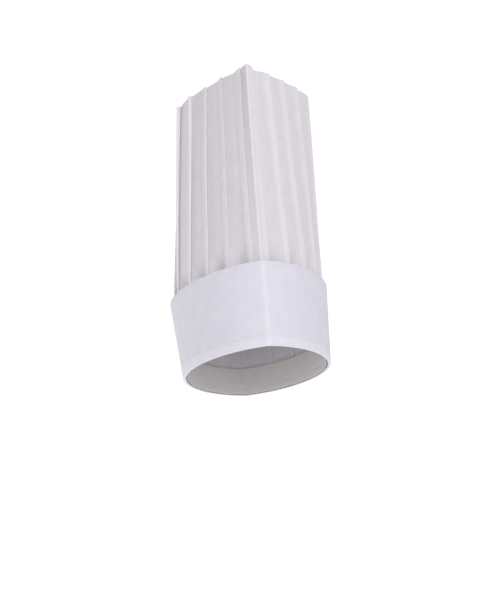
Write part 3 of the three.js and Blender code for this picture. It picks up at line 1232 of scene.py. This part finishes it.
        # The backing mark fades with height, so its painted light on the proud strips is strongest near the
        # band.
        seen = backed[None, :] * (1 - 0.6 * self.rise(z))[:, None]
        marks = {"fold": fold[None, :], "backed": np.concatenate([seen, seen[::-1]])}
        crown = finished("pleated_crown", grid_mesh("pleated_crown", points, uv, marks), self.cloth)
        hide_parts("crown_wall")
        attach(crown, "hat")
        return crown

    def top_edge(self, share: Array, z: Array) -> Array:
        """How far the cut top edge wanders up and down, in mm.

        Args:
            share: Share of the girth, counter-clockwise from the front crease.
            z: Height, in mm.

        Returns:
            The rise of each point, in mm.
        """
        wander = Ripple(amplitude=0.9, fewest=5, most=38, seed=12, slant=0.0)
        crest = self.crest * np.exp(-(((np.mod(share + 0.5, 1) - 0.5) * 40) ** 2))
        return (wander.at(share, 0 * z) + crest) * np.clip((z - 300) / 50, 0, 1)

    def seam_path(self, inset: float) -> Array:
        """The line of the seam up the back, beside the last fold edge.

        Args:
            inset: How far the seam lies from the back fold edge, in mm.

        Returns:
            The line, in metres.
        """
        z = np.linspace(BAND_HEIGHT - 20, HAT_HEIGHT - 1, 90)
        share = 0.5 - inset / self.wall.girth(z)
        fall = -self.droop(z) * self.step(z) * inset / self.lap(z)
        level = fall + self.thickness / 2 + self.rippled(share, z) + THREAD_PROUD
        return self.wall.place(share, level, z)


@dataclass
class ClosingDisc:
    """The disc that closes the crown, a shallow tray sewn inside the pleats near the top."""

    cloth: bpy.types.Material
    crown: PleatedCrown
    drop: float = 16.0
    flange: float = 10.0
    thickness: float = 0.4
    clearance: float = 2.4
    sag: float = 5.0
    crease: float = 3.2
    crease_width: float = 5.0
    area_share: float = 0.7  # of its outline, between a diamond and an oval, in the rectangle round it
    columns: int = 144
    rings: int = 26
    wrinkles: Ripple = Ripple(amplitude=1.6, fewest=9, most=26, seed=21, slant=0.0)

    def build(self) -> bpy.types.Object:
        """Builds the tray, with the crease of its flat storage and soft wrinkles at its rim.

        Returns:
            The disc.
        """
        high = HAT_HEIGHT - self.drop
        rim = -float(self.crown.step(high)) - self.clearance
        turn = np.linspace(0, 1, self.columns, endpoint=False)
        share = turn[None, :]
        radius = np.linspace(0, 1, self.rings)[:, None] ** 0.85
        edge = self.crown.wall.place(share, rim, high)
        centre = edge.mean(axis=1, keepdims=True)
        top = centre + (edge - centre) * radius[..., None]
        wrinkle = self.wrinkles.at(share, 0 * share)
        side = np.abs(top[..., 0] - centre[..., 0]) / MM
        crease = self.crease * np.exp(-side / self.crease_width) * (1 - radius**4)
        sink = self.sag * (1 - radius**2) + crease
        top[..., 2] -= MM * (sink - wrinkle * radius**4 * (1 - 0.6 * radius))
        down = np.linspace(0, 1, 5)[1:, None]
        fall = high - self.thickness - (self.flange - self.thickness) * down
        skirt = self.crown.wall.place(share, rim + 0.25 - 0.5 * down**2, fall)
        upper = np.concatenate([top, skirt])
        inwards = np.concatenate([0 * top + Vector((0, 0, -1)), self.towards(centre, skirt)])
        inwards[self.rings - 1] = (inwards[self.rings - 1] + self.towards(centre, edge)[0]) / 2
        lower = upper + inwards * self.thickness * MM
        points = np.concatenate([lower, upper[::-1]])
        spot = np.concatenate([points, points[:1]])
        uv = np.concatenate([spot, spot[:, :1]], axis=1)[..., :2]
        # No fold highlight on the disc; an even backing mark of 0.4 whitens it all over.
        mesh = grid_mesh("closing_disc", points, uv, {"fold": 0.0, "backed": 0.4})
        disc = finished("closing_disc", mesh, self.cloth)
        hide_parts("crown_top")
        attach(disc, "hat")
        return disc

    def towards(self, centre: Array, points: Array) -> Array:
        """Level unit vectors from points towards the centre.

        Args:
            centre: The centre.
            points: The points.

        Returns:
            The vectors.
        """
        way = centre - points
        way[..., 2] = 0
        return way / np.linalg.norm(way, axis=-1, keepdims=True)


# ---- The band and what is sewn into it ------------------------------------------------------------


@dataclass
class Band:
    """The band: one strip folded over at the top round a board, and turned in along its lower edge."""

    cloth: bpy.types.Material
    board: bpy.types.Material
    ply: float = 0.4
    inner: float = -1.5
    hem_turn: float = 3.4
    hem_line: float = 10.0
    groove: float = 0.28
    lap_edge: float = 5.0
    lap_start: float = 14.0
    lap_thickness: float = 0.26
    crease_width: float = 3.0
    edge_round: float = 0.28
    edge_depth: float = 0.95
    inner_foot: float = 1.5
    board_gap: float = 0.3
    board_ply: float = 0.5
    board_margin: float = 2.0
    wall: OvalWall = field(default_factory=lambda: OvalWall((HEAD, BAND_TOP), crease_radius=2.6))
    ripple: Ripple = Ripple(amplitude=0.55, fewest=2, most=9, seed=5, slant=0.001)

    def waves(self, share: Array, z: Array) -> Array:
        """The unevenness of the whole band, growing towards its free upper edge, in mm."""
        return self.ripple.at(share, z) * np.clip(z / BAND_HEIGHT, 0, 1) ** 1.5

    def rise(self, share: Array, out: Array, z: Array) -> Array:
        """What is added to the plies: the waves, the hem's groove and the lap at the back.

        Args:
            share: Share of the girth, counter-clockwise from the front crease.
            out: Distance outwards, in mm.
            z: Height, in mm.

        Returns:
            The distance added, in mm.
        """
        groove = -self.groove * np.exp(-(((z - self.hem_line) / 0.7) ** 2))
        turned_up = 0.12 * (1 - np.clip((z - self.hem_line) / 1.2 + 0.5, 0, 1)) * np.clip(z / 1.5, 0, 1)
        along = (share - 0.5) * self.wall.girth(z)
        on_lap = np.clip((along + self.lap_start) / 6, 0, 1) * np.clip((self.lap_edge - along) / 0.35, 0, 1)
        outer = np.clip((out + 0.2) / 0.2, 0, 1)
        return self.waves(share, z) + outer * (groove + turned_up + self.lap_thickness * on_lap)

    def marks(self, share: Array, z: Array) -> dict[str, Array]:
        """The painted fold highlight at the pressed creases and both folded edges, and the backing mark.

        Args:
            share: Share of the girth, counter-clockwise from the front crease.
            z: Height, in mm.

        Returns:
            The fold highlight and the backing mark of each point.
        """
        away = np.abs(np.mod(share + 0.25, 0.5) - 0.25) * self.wall.girth(z)
        # Painted highlights along the creases and along the top and bottom folded edges.
        crease = 0.3 * np.clip(1.25 - away / self.crease_width, 0, 1)
        edge = np.clip((z - BAND_HEIGHT + 0.9) / 0.9, 0, 1) + np.clip((0.5 - z) / 0.5, 0, 1)
        # Below the hem line the backing mark is the turned-in plies and also painted light on the hem strip.
        turned_in = np.clip(self.hem_line - z, 0, 1)
        return {"fold": np.clip(crease + 0.8 * edge, 0, 1), "backed": 0.3 + 0.6 * turned_in + 0 * crease}

    def section(self) -> Array:
        """The folded strip's section, up the outer ply, down the inner one and round the turned edge.

        Returns:
            The section, as n x 2: distance outwards and height, in mm.
        """
        deep = self.inner - self.ply
        middle = deep / 2
        shoulder, inner_shoulder = BAND_HEIGHT - self.edge_depth, BAND_HEIGHT - 1.0
        corners = [
            (0, 0.7),
            *((0, self.hem_line + away) for away in (-1.6, -0.8, -0.4, 0, 0.4, 0.8, 1.6)),
            (0, shoulder),
            (-self.edge_round, BAND_HEIGHT - self.edge_round),
            (middle, BAND_HEIGHT),
            (deep + self.edge_round, BAND_HEIGHT - self.edge_round),
            (deep, shoulder),
            (deep, self.inner_foot),
            (self.inner, self.inner_foot),
            (self.inner, inner_shoulder),
            (middle, BAND_HEIGHT - self.ply),
            (-self.ply, inner_shoulder),
            (-self.ply, 0.9),
            (-0.8, self.ply),
            (-self.hem_turn, self.ply),
            (-self.hem_turn, 0),
            (-0.8, 0),
            (-0.2, 0.16),
        ]
        return section_loop(corners, 7.0)

    def build(self) -> list[bpy.types.Object]:
        """Builds the folded strip and the board inside it.

        Returns:
            The two pieces.
        """
        strip = swept_ring("folded_band", self.wall, self.section(), 2.2, self.rise, self.marks)
        band = finished("folded_band", strip, self.cloth)
        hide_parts("band_cover")
        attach(band, "hat")
        around = float(self.wall.girth(BAND_HEIGHT / 2)) * MM
        return [band, self.build_board()]

    def board_rise(self, share: Array, out: Array, z: Array) -> Array:
        """The board takes the waves of the band, and nothing else."""
        return self.waves(share, z)

    def build_board(self) -> bpy.types.Object:
        """Builds the board that stands between the plies.

        Returns:
            The board.
        """
        front = -self.ply - self.board_gap
        back = front - self.board_ply
        low, high = self.board_margin, BAND_HEIGHT - self.board_margin
        loop = section_loop([(front, low), (front, high), (back, high), (back, low)], 7.0)
        mesh = swept_ring("band_board", self.wall, loop, 3.0, self.board_rise)
        board = finished("band_board", mesh, self.board)
        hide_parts("band_stiffener")
        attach(board, "hat")
        return board

    def hem_path(self) -> Array:
        """The line of the hem stitches on the outside."""
        share = np.linspace(0, 1, 400, endpoint=False)
        return self.wall.place(share, -self.groove + 0.12, self.hem_line)

    def lap_path(self, along: float) -> Array:
        """The line of the seam that closes the band into a ring.

        Args:
            along: How far it lies from the back crease, in mm.

        Returns:
            The line, in metres.
        """
        z = np.linspace(self.hem_line + 2, BAND_HEIGHT - 2, 60)
        share = 0.5 + along / self.wall.girth(z)
        return self.wall.place(share, self.waves(share, z) + self.lap_thickness + THREAD_PROUD, z)


@dataclass
class Sweatband:
    """The soft strip inside the band, sewn in with the hem."""

    cloth: bpy.types.Material
    crown: PleatedCrown
    height: float = mm_of("sweatband", 1).z
    hem_line: float = 10.0
    foot: float = 1.0
    thickness: float = 0.95
    gap: float = 0.55
    pucker: float = 0.3
    ripple: Ripple = Ripple(amplitude=0.5, fewest=4, most=22, seed=9)

    @property
    def face(self) -> float:
        """How far its back lies inside the crown's middle line, in mm."""
        return -float(self.crown.step(self.height)) - self.crown.thickness / 2 - self.gap

    def rise(self, share: Array, out: Array, z: Array) -> Array:
        """Its soft unevenness, held at the seam, and the dent of the seam on the wearer's side.

        Args:
            share: Share of the girth, counter-clockwise from the front crease.
            out: Distance outwards, in mm.
            z: Height, in mm.

        Returns:
            The distance added, in mm.
        """
        free = np.clip((z - 12) / 24, 0, 1)
        inner = np.clip((self.face - 0.4 - out) / 0.3, 0, 1)
        dent = self.pucker * inner * np.exp(-(((z - self.hem_line) / 1.3) ** 2))
        return -np.abs(self.ripple.at(share, z)) * free + dent

    def build(self) -> bpy.types.Object:
        """Builds the strip with soft rounded edges.

        Returns:
            The sweatband.
        """
        back, front = self.face, self.face - self.thickness
        low, high, middle = self.foot, self.height - 0.3, (back + front) / 2
        section = [
            (back, low + 0.4),
            (back, high - 0.5),
            (back - 0.15, high - 0.12),
            (middle, high),
            (front + 0.15, high - 0.12),
            (front, high - 0.5),
            (front, low + 0.4),
            (middle, low),
        ]
        mesh = swept_ring("sweatband_fleece", self.crown.wall, section_loop(section, 1.8), 2.4, self.rise)
        strip = finished("sweatband_fleece", mesh, self.cloth)
        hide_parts("sweatband")
        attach(strip, "hat")
        around = float(self.crown.wall.girth(self.height / 2)) * MM
        return strip

    def seam_path(self) -> Array:
        """The line of the hem stitches on the wearer's side."""
        share = np.linspace(0, 1, 400, endpoint=False)
        return self.crown.wall.place(share, self.face - self.thickness + self.pucker - 0.1, self.hem_line)


# ---- Stitches -------------------------------------------------------------------------------------


@dataclass
class Stitching:
    """Lockstitch in spun thread: one row of short stitches along each seam's path."""

    thread: bpy.types.Material
    pitch: float = 3.0
    radius: float = 0.22
    tree: bpy.types.NodeTree = field(default_factory=stitch_tree)

    def sew(
        self, name: str, paths: Sequence[tuple[Array, bool]], node: str, body: str = "hat"
    ) -> bpy.types.Object:
        """Sews one piece's seams.

        Args:
            name: The piece's name.
            paths: Each seam's points in metres, and whether it closes on itself.
            node: The CAD node that it stands for.
            body: The body that it moves with.

        Returns:
            The stitches as one plain mesh.
        """
        points, edges = [], []
        for path, closed in paths:
            first, count = sum(len(p) for p in points), len(path)
            points.append(path)
            edges += [(first + i, first + (i + 1) % count) for i in range(count - (not closed))]
        route = bpy.data.meshes.new(name + "_route")
        route.from_pydata(np.concatenate(points), edges, [])
        piece = grown(
            name,
            route,
            self.tree,
            Pitch=self.pitch * MM,
            Thread=self.radius * MM,
            Seed=len(name),
            Material=self.thread,
        )
        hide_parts(node)
        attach(piece, body)
        return piece


# ---- The size closure -----------------------------------------------------------------------------


@dataclass
class SizeTab:
    """The tab at the back, sewn to the band at its root, with hooks under it and loops on the band."""

    cloth: bpy.types.Material
    tape: bpy.types.Material
    filament: bpy.types.Material
    band: Band
    heights: Span = (29.0, 63.0)
    root: Span = (6.0, 19.6)
    tip: float = 82.0
    corner: float = 9.0
    climb: Span = (24.0, 34.0)
    bend: Span = (18.0, 24.0)
    loops: Span = (36.0, 80.0)
    hooks: Span = (52.0, 77.0)
    loop_margin: float = 2.0
    hook_margin: float = 6.0
    stitch_margin: float = 1.5
    ply: float = 0.4
    ground: float = 0.3
    lift: float = 0.3
    rise: float = 1.8
    puff: float = 0.35
    pile_margin: float = 0.6
    loop_spacing: float = 0.95
    hook_spacing: float = 1.15
    filament_radius: float = 0.07

    def inset(self, span: Span, margin: float) -> Span:
        """A span with a margin taken off both its ends."""
        return span[0] + margin, span[1] - margin

    def on_band(self, along: Array) -> Array:
        """Distance outwards of the band's face, with its waves, at mid-height of the tab."""
        z = sum(self.heights) / 2
        return self.band.waves(0.5 + along / self.band.wall.girth(z), np.full_like(along, z))

    def under(self, along: Array) -> Array:
        """Distance outwards of the tab's underside: on the band at its root, then on the strips.

        Args:
            along: Distance along the wall from the back crease, in mm.

        Returns:
            The distances, in mm.
        """
        t = np.clip((along - self.climb[0]) / (self.climb[1] - self.climb[0]), 0, 1)
        puff = self.puff * np.sin(np.pi * np.clip((along - 34) / 18, 0, 1)) ** 2
        return self.on_band(along) + self.lift + self.rise * t * t * (3 - 2 * t) + puff

    def loop_bed(self, along: Array) -> Array:
        """Distance outwards of the loop strip's underside."""
        return self.on_band(along) + self.lift

    def loop_face(self, along: Array) -> Array:
        """Distance outwards of the loop strip's face."""
        return self.loop_bed(along) + self.ground

    def loop_seam(self, along: Array) -> Array:
        """Distance outwards of the stitches on the loop strip."""
        return self.loop_face(along) + 0.05

    def hook_face(self, along: Array) -> Array:
        """Distance outwards of the hook strip's face, which is turned to the band."""
        return self.under(along) - self.lift - self.ground

    def outside(self, along: Array) -> Array:
        """Distance outwards of the tab's own outer face."""
        return self.under(along) + self.ply

    def box_path(self, span: Span, heights: Span, out: OutAt) -> Array:
        """A rectangle of stitches inside the edges of a piece.

        Args:
            span: Where the piece starts and ends, in mm along the wall from the back crease.
            heights: Its lower and upper edge, in mm.
            out: Distance outwards of the stitches.

        Returns:
            The line, in metres.
        """
        (x0, x1), (y0, y1) = self.inset(span, self.stitch_margin), self.inset(heights, self.stitch_margin)
        across, up = np.linspace(x0, x1, 40)[:-1], np.linspace(y0, y1, 24)[:-1]
        x = np.concatenate([across, np.full_like(up, x1), (x0 + x1) - across, np.full_like(up, x0)])
        y = np.concatenate([np.full_like(across, y0), up, np.full_like(across, y1), (y0 + y1) - up])
        return self.band.wall.from_back(x, out(x), y)

    def build(self) -> list[bpy.types.Object]:
        """Builds the tab and the two strips with their pile.

        Returns:
            The five pieces.
        """
        wall, (low, high) = self.band.wall, self.heights
        span = (self.root[0], self.tip)
        mesh = strip_mesh("size_tab", wall, span, self.heights, self.under, self.ply, tip=self.corner)
        tab = finished("size_tab", mesh, self.cloth)
        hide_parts("closure_root", "closure_tab")
        middle = (low + high) / 2
        start, end = (wall.from_back(along, self.lift, middle) for along in self.bend)
        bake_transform(tab)
        return [tab, *self.build_loops(), *self.build_hooks()]

    def build_strip(self, name: str, span: Span, margin: float, out: OutAt) -> bpy.types.Object:
        """Builds the woven ground of one fastener strip.

        Args:
            name: The piece's name.
            span: Where it starts and ends, in mm along the wall from the back crease.
            margin: How far it lies inside the tab's long edges, in mm.
            out: Distance outwards of its underside.

        Returns:
            The strip.
        """
        mesh = strip_mesh(name, self.band.wall, span, self.inset(self.heights, margin), out, self.ground)
        return finished(name, mesh, self.tape)

    def build_pile(
        self, kind: Pile, span: Span, margin: float, out: OutAt, spacing: float
    ) -> bpy.types.Object:
        """Grows the pile of one strip from a sheet that lies on its face.

        Args:
            kind: Loops, which stand outwards, or hooks, which stand inwards.
            span: Where the strip starts and ends, in mm along the wall from the back crease.
            margin: How far the strip lies inside the tab's long edges, in mm.
            out: Distance outwards of the strip's face.
            spacing: The least distance between bristles, in mm.

        Returns:
            The pile as one plain mesh.
        """
        name = kind.value[0]
        heights = self.inset(self.heights, margin + self.pile_margin)
        along, up = np.linspace(*self.inset(span, self.pile_margin), 30), np.linspace(*heights, 20)
        x, y = np.meshgrid(along, up)
        points = self.band.wall.from_back(x, out(along)[None, :] + 0 * x, y)
        if kind is Pile.HOOK:
            points = points[::-1]
        uv = MM * np.pad(np.stack([x, y], axis=-1), ((0, 1), (0, 1), (0, 0)))
        return grown(
            name,
            grid_mesh(name + "_bed", points, uv, ring=False, loop=False),
            pile_tree(kind),
            Spacing=spacing * MM,
            Thread=self.filament_radius * MM,
            Seed=4,
            Material=self.filament,
        )

    def build_loops(self) -> list[bpy.types.Object]:
        """Builds the loop strip on the band.

        Returns:
            The strip and its pile.
        """
        strip = self.build_strip("loop_tape", self.loops, self.loop_margin, self.loop_bed)
        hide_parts("loop_strip")
        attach(strip, "hat")
        pile = self.build_pile(Pile.LOOP, self.loops, self.loop_margin, self.loop_face, self.loop_spacing)
        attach(pile, "hat")
        return [strip, pile]

    def build_hooks(self) -> list[bpy.types.Object]:
        """Builds the hook strip under the tab.

        Returns:
            The strip and its pile.
        """
        strip = self.build_strip("hook_tape", self.hooks, self.hook_margin, self.hook_face)
        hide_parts("hook_strip")
        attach(strip, "closure_tab")
        pile = self.build_pile(Pile.HOOK, self.hooks, self.hook_margin, self.hook_face, self.hook_spacing)
        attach(pile, "closure_tab")
        return [strip, pile]

    def seams(self) -> list[tuple[str, Array, str, str]]:
        """The name, the path, the CAD node and the body of each closed seam of the closure."""
        loop_heights = self.inset(self.heights, self.loop_margin)
        hook_heights = self.inset(self.heights, self.hook_margin)
        at_root = self.box_path(self.root, self.heights, self.outside)
        at_loops = self.box_path(self.loops, loop_heights, self.loop_seam)
        at_hooks = self.box_path(self.hooks, hook_heights, self.outside)
        return [
            ("root_stitches", at_root, "closure_root_thread", "hat"),
            ("loop_stitches", at_loops, "loop_strip_thread", "hat"),
            ("hook_stitches", at_hooks, "hook_strip_thread", "closure_tab"),
        ]


# ---- The studio -----------------------------------------------------------------------------------


@dataclass(frozen=True)
class Lamp:
    """A soft square lamp: its place and side in metres, its power in watts and its colour."""

    name: str
    place: tuple[float, float, float]
    size: float
    power: float
    colour: str


@dataclass
class Studio:
    """A plain pale room with soft light, and a camera that looks up at the hat as it is worn."""

    distance: float = 1.4335
    bearing: float = math.radians(-9.36)
    elevation: float = math.radians(-16.13)
    roll: float = math.radians(6.45)
    lens: float = 74.07
    aside: float = 0.0012
    above: float = 0.0843
    floor_depth: float = 0.62
    floor_reach: float = 12.0
    floor_glow: tuple[float, float] = (0.2, 0.62)
    floor_fade: tuple[float, float] = (1.0, 3.2)
    behind: float = 1.05
    around: float = 0.36
    lit_height: float = 0.18
    lamps: tuple[Lamp, ...] = (
        Lamp("front", (0.2, -2.25, 0.6), 1.6, 22.6, "#ffffff"),
        Lamp("left_rim", (-1.55, 1.35, 0.3), 1.2, 15.8, "#fffcf8"),
        Lamp("right_rim", (1.8, 1.3, 0.3), 1.2, 7.4, "#ffffff"),
    )

    def camera(self) -> None:
        """Places the camera."""
        level = math.cos(self.elevation)
        x, y = math.sin(self.bearing) * level, -math.cos(self.bearing) * level
        away = Vector((x, y, math.sin(self.elevation)))
        right = Vector((math.cos(self.bearing), math.sin(self.bearing), 0))
        aim = right * self.aside + right.cross(-away) * self.above
        place = away * self.distance
        forward = (aim - place).normalized()
        right = forward.cross(Vector((0, 0, 1))).normalized()
        up = right.cross(forward)
        across = math.cos(self.roll) * right - math.sin(self.roll) * up
        upright = math.sin(self.roll) * right + math.cos(self.roll) * up
        data = bpy.data.cameras.new("camera")
        data.lens, data.sensor_width, data.sensor_fit = self.lens, 36.0, "AUTO"
        camera = bpy.data.objects.new("camera", data)
        axes = Matrix((across, upright, -forward)).transposed().to_4x4()
        camera.matrix_world = Matrix.Translation(place) @ axes
        bpy.context.scene.collection.objects.link(camera)
        bpy.context.scene.camera = camera

    def floor(self) -> None:
        """Lays a pale floor well below the hat, which glows more further off, as a lit sweep does."""
        mesh = bpy.data.meshes.new("floor")
        reach = self.floor_reach
        corners = [(-reach, -reach), (reach, -reach), (reach, reach), (-reach, reach)]
        mesh.from_pydata([(x, y, -self.floor_depth) for x, y in corners], [], [(0, 1, 2, 3)])
        paint = bpy.data.materials.new("pale_matt_floor_paint")
        paint.use_nodes = True
        tree = paint.node_tree
        tree.nodes.clear()
        white = linear("#f8f7f8")
        place = add_node(tree, "ShaderNodeNewGeometry").outputs["Position"]
        away = add_node(tree, "ShaderNodeVectorMath", {0: place}, operation="LENGTH").outputs["Value"]
        near, far = self.floor_fade
        low, high = self.floor_glow
        glow = add_node(
            tree,
            "ShaderNodeMapRange",
            {"Value": away},
            {"From Min": near, "From Max": far, "To Min": low, "To Max": high},
            interpolation_type="SMOOTHSTEP",
        )
        shader = add_node(
            tree,
            "ShaderNodeBsdfPrincipled",
            {"Emission Strength": glow.outputs["Result"]},
            {"Base Color": white, "Roughness": 0.9, "Emission Color": white},
        )
        add_node(tree, "ShaderNodeOutputMaterial", {"Surface": shader.outputs[0]})
        mesh.materials.append(paint)
        floor = bpy.data.objects.new("floor", mesh)
        bpy.context.scene.collection.objects.link(floor)

    def hang(self, lamp: Lamp) -> None:
        """Hangs a lamp so that it faces the middle of the hat.

        Args:
            lamp: The lamp.
        """
        data = bpy.data.lights.new(lamp.name, "AREA")
        data.size, data.energy = lamp.size, lamp.power
        data.color = linear(lamp.colour)[:3]
        hung = bpy.data.objects.new(lamp.name, data)
        hung.location = lamp.place
        way = Vector((0, 0, self.lit_height)) - Vector(lamp.place)
        hung.rotation_euler = way.to_track_quat("-Z", "Y").to_euler()
        bpy.context.scene.collection.objects.link(hung)

    def world(self) -> None:
        """Makes the room white to look at, and a little dimmer as a light."""
        world = bpy.data.worlds.new("room")
        bpy.context.scene.world = world
        world.use_nodes = True
        tree = world.node_tree
        tree.nodes.clear()
        white, dim = linear("#ffffff"), linear("#f6f5f8")
        seen = add_node(tree, "ShaderNodeBackground", values={"Color": white, "Strength": self.behind})
        lit = add_node(tree, "ShaderNodeBackground", values={"Color": dim, "Strength": self.around})
        path = add_node(tree, "ShaderNodeLightPath")
        mixed = add_node(
            tree,
            "ShaderNodeMixShader",
            {0: path.outputs["Is Camera Ray"], 1: lit.outputs[0], 2: seen.outputs[0]},
        )
        add_node(tree, "ShaderNodeOutputWorld", {"Surface": mixed.outputs[0]})

    def build(self) -> None:
        """Sets up the camera, the floor and the light."""
        self.camera()
        self.floor()
        self.world()
        for lamp in self.lamps:
            self.hang(lamp)
        bpy.context.scene.view_settings.view_transform = "Standard"
        bpy.context.scene.view_settings.look = "None"


def main() -> None:
    """Builds the hat piece by piece, then the studio."""
    logging.basicConfig(level=logging.INFO, format="%(name)s: %(message)s")
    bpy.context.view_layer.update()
    crown_cloth, band_cloth, thread = (finish.material() for finish in (CROWN_CLOTH, BAND_CLOTH, THREAD))
    crown = PleatedCrown(crown_cloth)
    band = Band(band_cloth, PAPERBOARD.material())
    sweatband = Sweatband(SWEAT_FLEECE.material(), crown)
    tab = SizeTab(band_cloth, TAPE.material(), FILAMENT.material(), band)
    stitching = Stitching(thread)
    disc = ClosingDisc(crown_cloth, crown)
    pieces = [crown.build(), disc.build(), *band.build(), sweatband.build(), *tab.build()]
    lap_inset, crown_inset = 3.0, 2.4
    pieces += [
        stitching.sew("hem_stitches", [(band.hem_path(), True), (sweatband.seam_path(), True)], "hem_thread"),
        stitching.sew("lap_stitches", [(band.lap_path(lap_inset), False)], "band_lap_thread"),
        stitching.sew("crown_seam_stitches", [(crown.seam_path(crown_inset), False)], "crown_seam_thread"),
        *(stitching.sew(name, [(path, True)], node, body) for name, path, node, body in tab.seams()),
    ]
    for piece in pieces:
        LOG.info("%s: %d faces", piece.name, len(piece.data.polygons))
    Studio().build()


if __name__ == "__main__":
    main()
